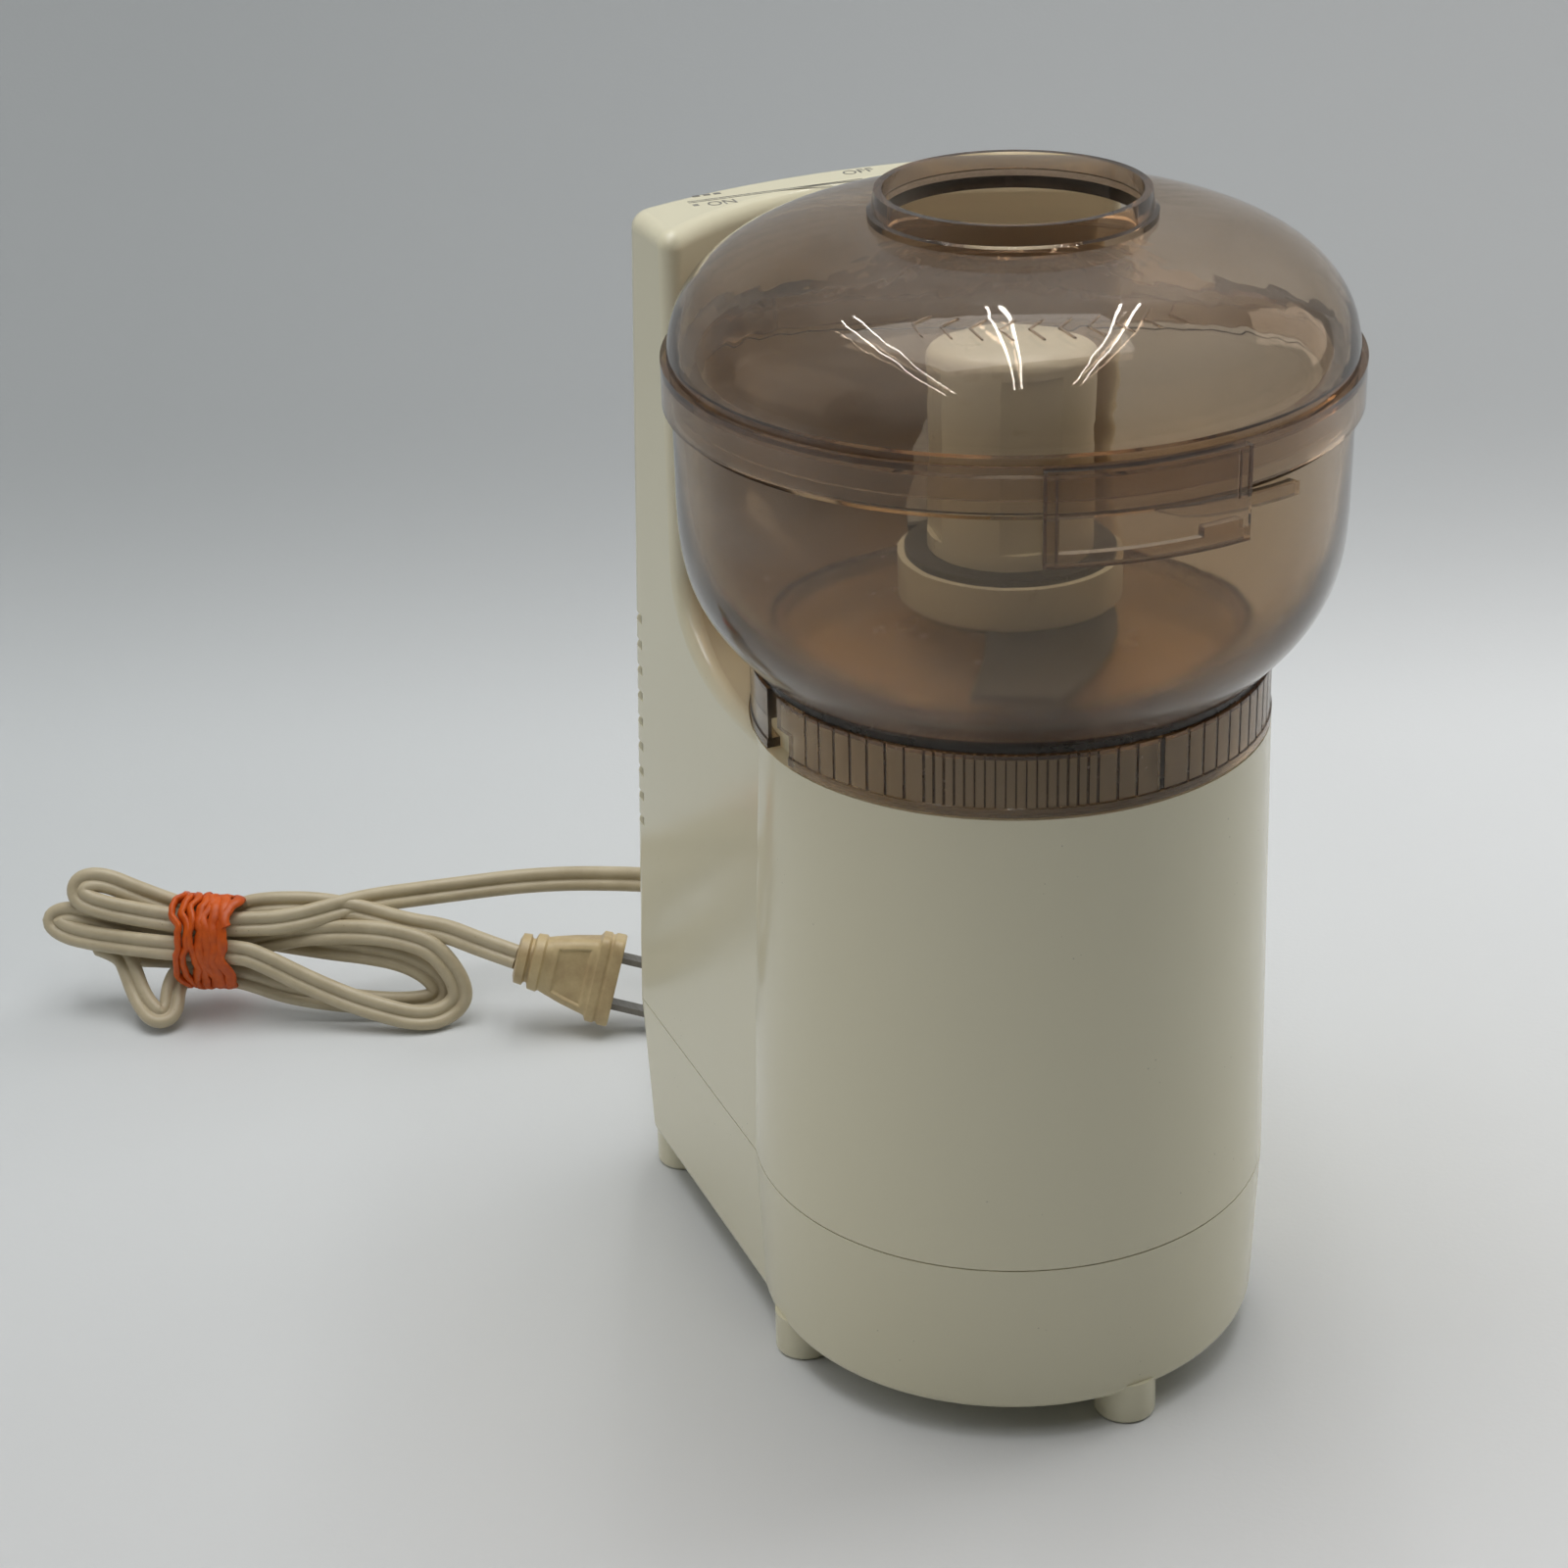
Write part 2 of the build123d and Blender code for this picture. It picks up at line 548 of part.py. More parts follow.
# ---------------------------------------------------------------- bowl and lid
def bowl():
    """Clear bowl with a flared body, a central chimney and a grooved locking skirt."""
    foot = BOWL_FOOT_RADIUS
    inner_foot = foot - 1.6 * BOWL_WALL
    inner = BOWL_RADIUS - BOWL_WALL
    neck = SKIRT_RADIUS - NECK_STEP
    flare = 1.18 * (BOWL_RADIUS - foot)
    outside = Bezier((foot, BOWL_FLOOR_Z), (foot + flare, BOWL_FLOOR_Z + 0.31 * BOWL_DEPTH),
                     (BOWL_RADIUS - 0.8, RIM_Z - 0.53 * BOWL_DEPTH), (BOWL_RADIUS, RIM_Z))
    inside = Bezier((inner, RIM_Z), (inner - 0.8, RIM_Z - 0.53 * BOWL_DEPTH),
                    (inner_foot + flare, FLOOR_TOP_Z + 0.30 * BOWL_DEPTH), (inner_foot, FLOOR_TOP_Z))
    shape = spin(
        Polyline((CHIMNEY_BORE, BOWL_FLOOR_Z), (SPIGOT_RADIUS - SPIGOT_WALL, BOWL_FLOOR_Z),
                 (SPIGOT_RADIUS - SPIGOT_WALL, SHOULDER_Z), (SKIRT_BORE, SHOULDER_Z),
                 (SKIRT_BORE, SKIRT_LOW_Z), (SKIRT_RADIUS + BEAD_PROUD, SKIRT_LOW_Z),
                 (SKIRT_RADIUS + BEAD_PROUD, SKIRT_LOW_Z + BEAD_HEIGHT),
                 (SKIRT_RADIUS, SKIRT_LOW_Z + BEAD_HEIGHT + BEAD_PROUD),
                 (SKIRT_RADIUS, SKIRT_TOP_Z), (neck, SKIRT_TOP_Z),
                 (neck, BOWL_FLOOR_Z), (foot, BOWL_FLOOR_Z)),
        outside,
        Polyline((BOWL_RADIUS, RIM_Z), (RIM_RADIUS, RIM_Z + RIM_STEP), (RIM_RADIUS, RIM_TOP_Z),
                 (RIM_RADIUS - BOWL_WALL, RIM_TOP_Z), (inner, RIM_Z)),
        inside,
        Polyline((inner_foot, FLOOR_TOP_Z), (CHIMNEY_RADIUS, FLOOR_TOP_Z),
                 (CHIMNEY_RADIUS, CHIMNEY_TOP_Z), (CHIMNEY_BORE, CHIMNEY_TOP_Z),
                 (CHIMNEY_BORE, BOWL_FLOOR_Z)),
    )

    bore = SKIRT_BORE - 0.3
    for turn in (GAP_TURN, GAP_TURN + 180):
        gap_low = turn - GAP_WIDTH / 2
        gap_high = turn + GAP_WIDTH / 2
        shape -= sector(bore, SKIRT_RADIUS + 2, gap_low, gap_high, SKIRT_LOW_Z - 1, SKIRT_TOP_Z + LUG_GAP)
        shape -= sector(bore, SKIRT_RADIUS + 2, gap_low, gap_high + LUG_WIDTH,
                        SKIRT_LOW_Z - 1, LUG_TOP_Z + LUG_GAP)
        shape -= sector(bore, SPIGOT_RADIUS + LUG_PROUD + 0.3, turn - BOWL_TRAVEL - LUG_WIDTH / 2 - 0.6,
                        turn, LUG_LOW_Z - LUG_GAP, LUG_TOP_Z + LUG_GAP)

    for gap_turn in (GAP_TURN, GAP_TURN + 180):
        for turn in groove_turns():
            shape -= front(gap_turn + turn) * skirt_groove(GROOVE_WIDTH, GROOVE_DEPTH)
        shape -= front(gap_turn + NOTCH_TURN) * skirt_groove(NOTCH_WIDTH, NOTCH_DEPTH)
    return shape + bowl_ramp()


def groove_turns():
    """Degrees of the skirt's grooves past a gap: wide pitch, a fine patch, then wide again."""
    turns = []
    turn = GROOVES_FROM
    while turn < GROOVES_TO:
        if abs(turn - NOTCH_TURN) > NOTCH_MARGIN:
            turns.append(turn)
        turn += FINE_PITCH if FINE_FROM <= turn < FINE_TO else GROOVE_PITCH
    return turns


def skirt_groove(width, depth):
    """Cutter for one upright groove in the skirt, on the front."""
    return block(SKIRT_RADIUS - depth, SKIRT_RADIUS + 1, -width / 2, width / 2,
                 SKIRT_LOW_Z + BEAD_HEIGHT, SKIRT_TOP_Z + 1)


def bowl_ramp():
    """Wedge on the bowl's front that the lid's tab hooks under."""
    turns = RAMP_RIGHT - RAMP_LEFT
    top = BAND_Z - LUG_GAP
    inner = RIM_RADIUS - 0.8
    outer = BOWL_RADIUS + RAMP_PROUD
    pieces = []
    steps = 7
    for step in range(steps):
        share = step / (steps - 1)
        turn = math.radians(RAMP_LEFT + turns * share)
        high = top - RAMP_DROP * share
        low = high - RAMP_THICKNESS * min(1.0, 0.12 + 4.0 * share)
        out = Vector(math.sin(turn), -math.cos(turn), 0)
        corners = [out * inner + Vector(0, 0, low), out * outer + Vector(0, 0, low),
                   out * outer + Vector(0, 0, high), out * inner + Vector(0, 0, high)]
        pieces.append(make_face(Polyline(*corners, close=True)))
    return loft(pieces, ruled=True)


def lid():
    """Clear domed lid with an open feed neck, a lock tab and a spiral cam at the back."""
    band_bore = RIM_RADIUS + LID_CLEARANCE
    plug_outer = RIM_RADIUS - BOWL_WALL - HOLE_CLEARANCE
    plug_inner = plug_outer - LID_PLUG_WALL
    plug_low = RIM_TOP_Z - LID_PLUG_DEPTH
    seat = RIM_TOP_Z + HOLE_CLEARANCE
    dome_inner = DOME_RADIUS - LID_WALL
    dome_foot = BAND_TOP_Z + LID_PLUG_WALL
    spread = 0.62 * (DOME_RADIUS - NECK_OUTER)
    neck_low = DOME_TOP_Z - LID_WALL
    shoulder = (BAND_TOP_Z + 0.6 * DOME_RISE, 0.04 * DOME_RISE)
    outside = Bezier((DOME_RADIUS, BAND_TOP_Z), (DOME_RADIUS, shoulder[0]),
                     (NECK_OUTER + spread, DOME_TOP_Z - shoulder[1]), (NECK_OUTER, DOME_TOP_Z))
    inside = Bezier((NECK_BORE, neck_low), (NECK_OUTER + spread - 0.8, neck_low - shoulder[1]),
                    (dome_inner, shoulder[0]), (dome_inner, dome_foot))
    shape = spin(
        Polyline((band_bore, BAND_Z), (LID_RADIUS, BAND_Z), (LID_RADIUS, BAND_TOP_Z),
                 (DOME_RADIUS, BAND_TOP_Z)),
        outside,
        Polyline((NECK_OUTER, DOME_TOP_Z), (NECK_OUTER, DOME_TOP_Z + 1.3),
                 (NECK_OUTER - 0.8, DOME_TOP_Z + 1.7), (NECK_TOP_OUTER, NECK_TOP_Z),
                 (NECK_BORE, NECK_TOP_Z), (NECK_BORE, neck_low)),
        inside,
        Polyline((dome_inner, dome_foot), (plug_inner, BAND_TOP_Z), (plug_inner, plug_low),
                 (plug_outer, plug_low), (plug_outer, seat), (band_bore, seat), (band_bore, BAND_Z)),
    )

    hook_inner = BOWL_RADIUS + 0.8
    wall_inner = BOWL_RADIUS + RAMP_PROUD + RAMP_GAP
    lip_top = TAB_LOW_Z + TAB_LIP
    shape += sector(wall_inner, TAB_RADIUS, TAB_LEFT, TAB_RIGHT, TAB_LOW_Z, BAND_Z)
    shape += sector(LID_RADIUS - 0.5, TAB_RADIUS, TAB_LEFT, TAB_RIGHT, BAND_Z, BAND_TOP_Z)
    shape += sector(hook_inner, TAB_RADIUS, TAB_LEFT, TAB_RIGHT, TAB_LOW_Z, lip_top)
    shape += sector(hook_inner, TAB_RADIUS, TAB_LEFT, TAB_LEFT + 2.4, TAB_LOW_Z, BAND_Z + 1)
    catch_top = BAND_Z - LUG_GAP - RAMP_DROP - RAMP_THICKNESS - RAMP_GAP
    shape += sector(hook_inner, wall_inner + 0.5, TAB_RIGHT - 8, TAB_RIGHT - 1, lip_top - 0.5, catch_top)
    return shape + cam()


def cam():
    """Spiral cam on the back of the lid's band that works the interlock."""
    steps = 10
    spiral = []
    for step in range(steps + 1):
        turn = math.radians(CAM_TURN + LID_TRAVEL * step / steps)
        radius = CAM_RADIUS - CAM_RISE * step / steps
        spiral.append((radius * math.cos(turn), radius * math.sin(turn)))
    lead = math.radians(CAM_TURN - 4)
    tail = math.radians(CAM_TURN + LID_TRAVEL + 3)
    inner = LID_RADIUS - 4.0
    outline = [(inner * math.cos(lead), inner * math.sin(lead)),
               (CAM_RADIUS * math.cos(lead), CAM_RADIUS * math.sin(lead))]
    outline += spiral
    outline += [(inner * math.cos(tail), inner * math.sin(tail))]
    profile = make_face(Polyline(*outline, close=True)) - Circle(LID_RADIUS - 0.6)
    return Pos(0, 0, BAND_Z) * extrude(profile, BAND_HEIGHT)


# ---------------------------------------------------------------- interlock
def plunger():
    """Round-nosed plunger with a flange, in the wall of the column's hollow."""
    nose = CAM_RADIUS + CAM_GAP + PLUNGER_RADIUS
    shape = outwards(PLUNGER_RADIUS, nose, PLUNGER_BACK - nose)
    shape += plunger_frame(nose) * Sphere(PLUNGER_RADIUS)
    return shape + outwards(PLUNGER_FLANGE, PLUNGER_BACK - PLUNGER_FLANGE_WALL, PLUNGER_FLANGE_WALL)


def switch_button():
    """Button that the plunger holds down while the lid is locked."""
    return outwards(BUTTON_RADIUS, PLUNGER_BACK, BUTTON_TRAVEL_LEFT + CAM_RISE + 1.0)


def switch_body():
    """Sealed switch with two ears, screwed behind the column's hollow."""
    body = Box(SWITCH_DEPTH, SWITCH_WIDTH, SWITCH_HEIGHT, align=(Align.MIN, Align.CENTER, Align.CENTER))
    ear_span = SWITCH_EAR_SPACING + 2 * SWITCH_POST_RADIUS + 0.4
    ears = Box(SWITCH_EAR, ear_span, SWITCH_EAR_HEIGHT, align=(Align.MIN, Align.CENTER, Align.CENTER))
    shape = plunger_frame(SWITCH_FRONT) * (body + ears)
    shape -= outwards(BUTTON_RADIUS + HOLE_CLEARANCE, SWITCH_FRONT - 1, CAM_RISE + 2.4)
    for side in (-1, 1):
        hole = Rot(0, 90, 0) * Cylinder(SWITCH_SCREW_RADIUS + HOLE_CLEARANCE / 2, 4 * SWITCH_EAR)
        shape -= plunger_frame(SWITCH_FRONT) * Pos(0, side * SWITCH_EAR_SPACING / 2, 0) * hole
    return shape


def switch_screws():
    """Two small screws through the switch's ears."""
    screws = Part()
    for side in (-1, 1):
        shank = Rot(0, 90, 0) * Cylinder(SWITCH_SCREW_RADIUS, SWITCH_SCREW_LENGTH,
                                         align=(Align.CENTER, Align.CENTER, Align.MAX))
        head = Rot(0, 90, 0) * Cylinder(SWITCH_SCREW_HEAD, 1.2, align=(Align.CENTER, Align.CENTER, Align.MIN))
        across = Pos(0, side * SWITCH_EAR_SPACING / 2, 0)
        screws += plunger_frame(SWITCH_FRONT + SWITCH_EAR) * across * (shank + head)
    return screws


# ---------------------------------------------------------------- spindle and blades
def spindle():
    """Steel spindle: round in its bushes, six-sided where it drives the hub."""
    low = GEAR_PLATE_LOW_Z - SPINDLE_TAIL
    shaft = cylinder(SPINDLE_RADIUS, low, CHIMNEY_TOP_Z)
    shaft -= tube(SPINDLE_RADIUS + 1, SPINDLE_RADIUS - 0.7, low + CLIP_GROOVE, low + 2 * CLIP_GROOVE)
    drive = extrude(RegularPolygon(SPINDLE_HEX / 2, 6, major_radius=False), SPINDLE_HEX_TOP_Z - CHIMNEY_TOP_Z)
    drive = chamfer(drive.edges().group_by(Axis.Z)[-1], 0.5)
    return shaft + Pos(0, 0, CHIMNEY_TOP_Z) * drive


def spindle_clip():
    """Spring clip in the groove under the lower bush."""
    low = GEAR_PLATE_LOW_Z - SPINDLE_TAIL + CLIP_GROOVE + FIT
    high = low + CLIP_GROOVE - 2 * FIT
    ring = tube(SPINDLE_RADIUS + CLIP_WALL, SPINDLE_RADIUS - 0.6, low, high)
    mouth = 0.6 * SPINDLE_RADIUS
    return ring - block(0, 4 * SPINDLE_RADIUS, -mouth, mouth, low - 1, high + 1)


def spindle_bush(seat, length):
    """Plain bush for the spindle, with its flange on a seat."""
    bush = cylinder(BUSH_RADIUS - FIT, seat - length, seat)
    bush += cylinder(BUSH_RADIUS + BUSH_FLANGE, seat, seat + BUSH_FLANGE)
    return bush - cylinder(SPINDLE_RADIUS + FIT, seat - length - 1, seat + BUSH_FLANGE + 1)


def spindle_seal():
    """Rubber lip seal on top of the tower."""
    low = TOWER_TOP_Z + BUSH_FLANGE
    return tube(TOWER_RADIUS - 0.4, SPINDLE_RADIUS + 0.35, low, low + SEAL_HEIGHT)


def blade_hub():
    """Moulded sleeve over the chimney with a flange, four flat panels and a drive socket."""
    dome = HUB_TOP_Z - HUB_ROUNDING
    shell = spin(
        Polyline((HUB_BORE, FLANGE_LOW_Z), (FLANGE_RADIUS, FLANGE_LOW_Z),
                 (FLANGE_RADIUS, FLANGE_TOP_Z), (HUB_RADIUS, FLANGE_TOP_Z), (HUB_RADIUS, dome)),
        Bezier((HUB_RADIUS, dome), (HUB_RADIUS, HUB_TOP_Z - 1.2), (HUB_RADIUS * 0.6, HUB_TOP_Z),
               (0, HUB_TOP_Z)),
        Polyline((0, HUB_TOP_Z), (0, dome + 1), (HUB_BORE, dome + 1), (HUB_BORE, FLANGE_LOW_Z)),
    )
    for quarter in range(4):
        panel = block(HUB_RADIUS - HUB_PANEL_DEPTH, HUB_RADIUS + 2, -HUB_PANEL_WIDTH / 2,
                      HUB_PANEL_WIDTH / 2, FLANGE_TOP_Z + 5, dome - 1.5)
        shell -= Rot(0, 0, HUB_PANEL_TURN + 90 * quarter) * panel
    socket = cylinder(2 * SPINDLE_RADIUS, CHIMNEY_TOP_Z + 1.5, dome + 1.5)
    hollow = extrude(RegularPolygon(SPINDLE_HEX / 2 + 0.1, 6, major_radius=False),
                     SPINDLE_HEX_TOP_Z - CHIMNEY_TOP_Z + 0.3)
    return shell + socket - Pos(0, 0, CHIMNEY_TOP_Z) * hollow


def blade(bore, level, tip_level, turn):
    """One steel ring with a curved, sharpened arm that sweeps back like a comma."""
    ring = tube(BLADE_RING_RADIUS, bore, level, level + BLADE_THICKNESS)
    root = BLADE_RING_RADIUS - 4
    reach = BLADE_REACH
    arm = make_face(Curve() + [
        Spline((root, 15.0), (root + 17, 6.0), (reach * 0.97, -0.24 * reach)),
        Line((reach * 0.97, -0.24 * reach), (reach * 0.82, -0.56 * reach)),
        Spline((reach * 0.82, -0.56 * reach), (root + 12, -20.0), (root, -14.0)),
        Line((root, -14.0), (root, 15.0)),
    ])
    slab = Pos(0, 0, level) * extrude(arm, 40, both=True)
    slope = math.degrees(math.atan2(tip_level - level, reach - BLADE_RING_RADIUS))
    hinge = Pos(BLADE_RING_RADIUS - 2, 0, level + BLADE_THICKNESS / 2) * Rot(0, -slope, 0)
    length = 2 * reach
    tilted = Box(length, length, BLADE_THICKNESS, align=(Align.MIN, Align.CENTER, Align.CENTER))
    flat = block(0, BLADE_RING_RADIUS - 2, -length / 2, length / 2, level, level + BLADE_THICKNESS)
    wing = slab & (hinge * tilted + flat)
    wing -= cylinder(bore, level - 40, level + 40)
    return Rot(0, 0, turn) * (ring + wing)


# ---------------------------------------------------------------- gears
def gear_profile(teeth, shift):
    """Closed outline of an involute spur gear, first tooth centred on +X."""
    pressure = math.radians(PRESSURE_ANGLE)
    pitch = MODULE * teeth / 2
    base = pitch * math.cos(pressure)
    tip = pitch + MODULE * (1 + shift)
    root = pitch - MODULE * (1.25 - shift)
    thickness = MODULE * (math.pi / 2 + 2 * shift * math.tan(pressure)) - BACKLASH
    half = thickness / (2 * pitch) + math.tan(pressure) - pressure
    start = max(base, root + 0.05)
    flank = []
    steps = 5
    for step in range(steps + 1):
        radius = start + (tip - start) * step / steps
        roll = math.acos(min(1.0, base / radius))
        flank.append((radius, half - (math.tan(roll) - roll)))
    foot = (root, flank[0][1] + 0.004)
    points = []
    for tooth in range(teeth):
        centre = 2 * math.pi * tooth / teeth
        rise = [foot] + flank
        for radius, turn in rise:
            points.append((radius * math.cos(centre - turn), radius * math.sin(centre - turn)))
        for radius, turn in reversed(rise):
            points.append((radius * math.cos(centre + turn), radius * math.sin(centre + turn)))
    return make_face(Polyline(*points, close=True))


def drive_gear():
    """Large moulded gear on the spindle, with a thin web and a long hub."""
    high = GEAR_LOW_Z + GEAR_WIDTH
    gear = Pos(0, 0, GEAR_LOW_Z) * extrude(gear_profile(GEAR_TEETH, -PROFILE_SHIFT), GEAR_WIDTH)
    rim = MODULE * GEAR_TEETH / 2 - GEAR_RIM
    gear -= tube(rim, GEAR_HUB_RADIUS, GEAR_LOW_Z - 1, GEAR_LOW_Z + GEAR_WEB_SETBACK)
    gear -= tube(rim, GEAR_HUB_RADIUS, high - GEAR_WEB_SETBACK, high + 1)
    gear += cylinder(GEAR_HUB_RADIUS, GEAR_PLATE_TOP_Z + BUSH_FLANGE + 0.1, CEILING_Z - 1.8)
    return gear - cylinder(SPINDLE_RADIUS + PRESS, GEAR_PLATE_TOP_Z, CEILING_Z)


def pinion():
    """Small steel pinion on the motor shaft, with a tooth in the large gear's gap."""
    profile = Rot(0, 0, -90) * gear_profile(PINION_TEETH, PROFILE_SHIFT)
    gear = MOTOR * Pos(0, 0, GEAR_LOW_Z - 1) * extrude(profile, GEAR_WIDTH + 2)
    return gear - MOTOR * cylinder(SHAFT_RADIUS + PRESS, GEAR_PLATE_LOW_Z, CEILING_Z)


# ---------------------------------------------------------------- motor
def motor_screw_places():
    """Centres of the four long screws through the stator's corners."""
    return [(side_x * (STATOR_WIDTH / 2 - MOTOR_SCREW_INSET), side_y * (STATOR_DEPTH / 2 - MOTOR_SCREW_INSET))
            for side_x in (-1, 1) for side_y in (-1, 1)]


def stator_core():
    """Laminated stator with two poles, four coil windows and a round bore."""
    outline = extrude(RectangleRounded(STATOR_WIDTH, STATOR_DEPTH, STATOR_CORNER), STACK_HEIGHT)
    core = Pos(0, 0, STACK_LOW_Z) * outline
    core -= cylinder(ROTOR_RADIUS + AIR_GAP, STACK_LOW_Z - 1, STACK_TOP_Z + 1)
    for side_x in (-1, 1):
        for side_y in (-1, 1):
            x_low, x_high = sorted(side_x * x for x in COIL_WINDOW_X)
            y_low, y_high = sorted(side_y * y for y in COIL_WINDOW_Y)
            core -= block(x_low, x_high, y_low, y_high, STACK_LOW_Z - 1, STACK_TOP_Z + 1)
    for x, y in motor_screw_places():
        core -= cylinder(MOTOR_SCREW_RADIUS + MOTOR_SCREW_CLEARANCE, STACK_LOW_Z - 1, STACK_TOP_Z + 1, x, y)
    return MOTOR * core


def field_coils():
    """Two racetrack coils round the stator's poles."""
    coils = Part()
    middle = STACK_LOW_Z + STACK_HEIGHT / 2
    half_depth = (COIL_WINDOW_Y[1] - COIL_WINDOW_Y[0]) / 2 - COIL_GAP
    reach = (COIL_WINDOW_Y[1] + COIL_WINDOW_Y[0]) / 2
    for side in (-1, 1):
        outer = RectangleRounded(2 * (COIL_WINDOW_X[1] - COIL_GAP), STACK_HEIGHT + 2 * COIL_OVERHANG, 5)
        inner = RectangleRounded(2 * (COIL_WINDOW_X[0] + COIL_GAP), STACK_HEIGHT + 3 * COIL_GAP, 2 * COIL_GAP)
        ring = extrude(Plane.XZ * (outer - inner), half_depth, both=True)
        coils += Pos(0, side * reach, middle) * ring
    return MOTOR * coils


def motor_bracket(low, drop):
    """Pressed end bracket with a bearing seat, held on the stator's corners."""
    plate = Pos(0, 0, low) * extrude(RectangleRounded(STATOR_WIDTH, STATOR_DEPTH, STATOR_CORNER), BRACKET)
    for side in (-1, 1):
        window = (side * STATOR_DEPTH, side * (STATOR_DEPTH / 2 - 8.5))
        plate -= block(-STATOR_WIDTH / 4, STATOR_WIDTH / 4, min(window), max(window),
                       low - 1, low + BRACKET + 1)
    plate += cylinder(BEARING_RADIUS + BEARING_WALL, low - drop, low + BRACKET + 1.5)
    plate -= cylinder(BEARING_RADIUS, low - 2 * BRACKET, low + 3 * BRACKET)
    for x, y in motor_screw_places():
        plate -= cylinder(MOTOR_SCREW_RADIUS + MOTOR_SCREW_CLEARANCE, low - 1, low + BRACKET + 1, x, y)
    return MOTOR * plate


def motor_bearing(low, high):
    """Plain bearing for the motor shaft."""
    return MOTOR * tube(BEARING_RADIUS - 2 * PRESS, SHAFT_RADIUS + FIT, low, high)


def motor_spacers():
    """Sleeves that hold the brackets off the stator and the motor off the gear plate."""
    sleeves = Part()
    for x, y in motor_screw_places():
        for low, high in ((LOWER_BRACKET_Z + BRACKET, STACK_LOW_Z), (STACK_TOP_Z, UPPER_BRACKET_Z),
                          (UPPER_BRACKET_Z + BRACKET, GEAR_PLATE_LOW_Z)):
            bore = MOTOR_SCREW_RADIUS + MOTOR_SCREW_CLEARANCE
            sleeves += tube(MOTOR_SLEEVE_RADIUS, bore, low, high, x, y)
    return MOTOR * sleeves


def motor_screws():
    """Four long screws from the lower bracket up into the gear plate."""
    screws = Part()
    for x, y in motor_screw_places():
        screws += cylinder(MOTOR_SCREW_RADIUS, LOWER_BRACKET_Z, GEAR_PLATE_TOP_Z + 1.5, x, y)
        screws += cylinder(MOTOR_SLEEVE_RADIUS - 0.4, LOWER_BRACKET_Z - 2, LOWER_BRACKET_Z, x, y)
    return MOTOR * screws


def gear_plate():
    """Steel plate under the deck that carries the spindle's lower bush and the motor."""
    low = GEAR_PLATE_LOW_Z - 1
    high = GEAR_PLATE_TOP_Z + 1
    x_reach = GEAR_POST_X + GEAR_PLATE_MARGIN
    y_low = GEAR_POST_FRONT_Y - GEAR_PLATE_MARGIN
    y_high = MOTOR_Y + STATOR_DEPTH / 2 - MOTOR_SCREW_INSET + GEAR_PLATE_MARGIN
    plate = RectangleRounded(2 * x_reach, y_high - y_low, GEAR_PLATE_MARGIN)
    plate = Pos(0, (y_low + y_high) / 2, GEAR_PLATE_LOW_Z) * extrude(plate, GEAR_PLATE)
    plate -= cylinder(BUSH_RADIUS, low, high)
    plate -= MOTOR * cylinder(MODULE * PINION_TEETH / 2 + 2, low, high)
    for x, y in motor_screw_places():
        plate -= MOTOR * cylinder(MOTOR_SCREW_RADIUS + FIT, low, high, x, y)
    for x, y in gear_plate_places():
        plate -= cylinder(SCREW_RADIUS + MOTOR_SCREW_CLEARANCE, low, high, x, y)
    return plate


def gear_plate_screws():
    """Four screws that hold the gear plate to the posts under the deck."""
    low = GEAR_PLATE_LOW_Z
    screws = Part()
    for x, y in gear_plate_places():
        screws += cylinder(SCREW_RADIUS, low, low + PLATE_SCREW_LENGTH, x, y)
        screws += cylinder(SCREW_HEAD_RADIUS, low - 2, low, x, y)
    return screws


def rotor_shaft():
    """Motor shaft from the fan up to the pinion."""
    return MOTOR * cylinder(SHAFT_RADIUS, FAN_LOW_Z - 1, GEAR_LOW_Z + GEAR_WIDTH + 2)


def rotor_core():
    """Slotted armature stack."""
    core = tube(ROTOR_RADIUS, SHAFT_RADIUS + PRESS, STACK_LOW_Z, STACK_TOP_Z)
    groove = block(ROTOR_RADIUS - ROTOR_SLOT_DEPTH, ROTOR_RADIUS + 1, -ROTOR_SLOT_WIDTH / 2,
                   ROTOR_SLOT_WIDTH / 2, STACK_LOW_Z - 1, STACK_TOP_Z + 1)
    for slot in range(ROTOR_SLOTS):
        core -= Rot(0, 0, 360 * slot / ROTOR_SLOTS) * groove
    return MOTOR * core


def rotor_windings():
    """Wire bundles at the two ends of the armature."""
    rings = Part()
    for low, high in ((STACK_LOW_Z - 5.5, STACK_LOW_Z), (STACK_TOP_Z, STACK_TOP_Z + 4.5)):
        ring = tube(ROTOR_RADIUS - 2.6, SHAFT_RADIUS + 0.8, low, high)
        away = Axis.Z if low >= STACK_TOP_Z else -Axis.Z
        rings += fillet(ring.edges().group_by(away)[-1].sort_by(SortBy.RADIUS)[-1:], 2.0)
    return MOTOR * rings


def commutator():
    """Copper commutator with narrow gaps between its bars."""
    high = COMMUTATOR_LOW_Z + COMMUTATOR_LENGTH
    drum = tube(COMMUTATOR_RADIUS, SHAFT_RADIUS + PRESS, COMMUTATOR_LOW_Z, high)
    gap = block(COMMUTATOR_RADIUS - 1.2, COMMUTATOR_RADIUS + 1, -0.2, 0.2, COMMUTATOR_LOW_Z - 1, high + 1)
    for bar in range(COMMUTATOR_BARS):
        drum -= Rot(0, 0, 360 * bar / COMMUTATOR_BARS) * gap
    return MOTOR * drum


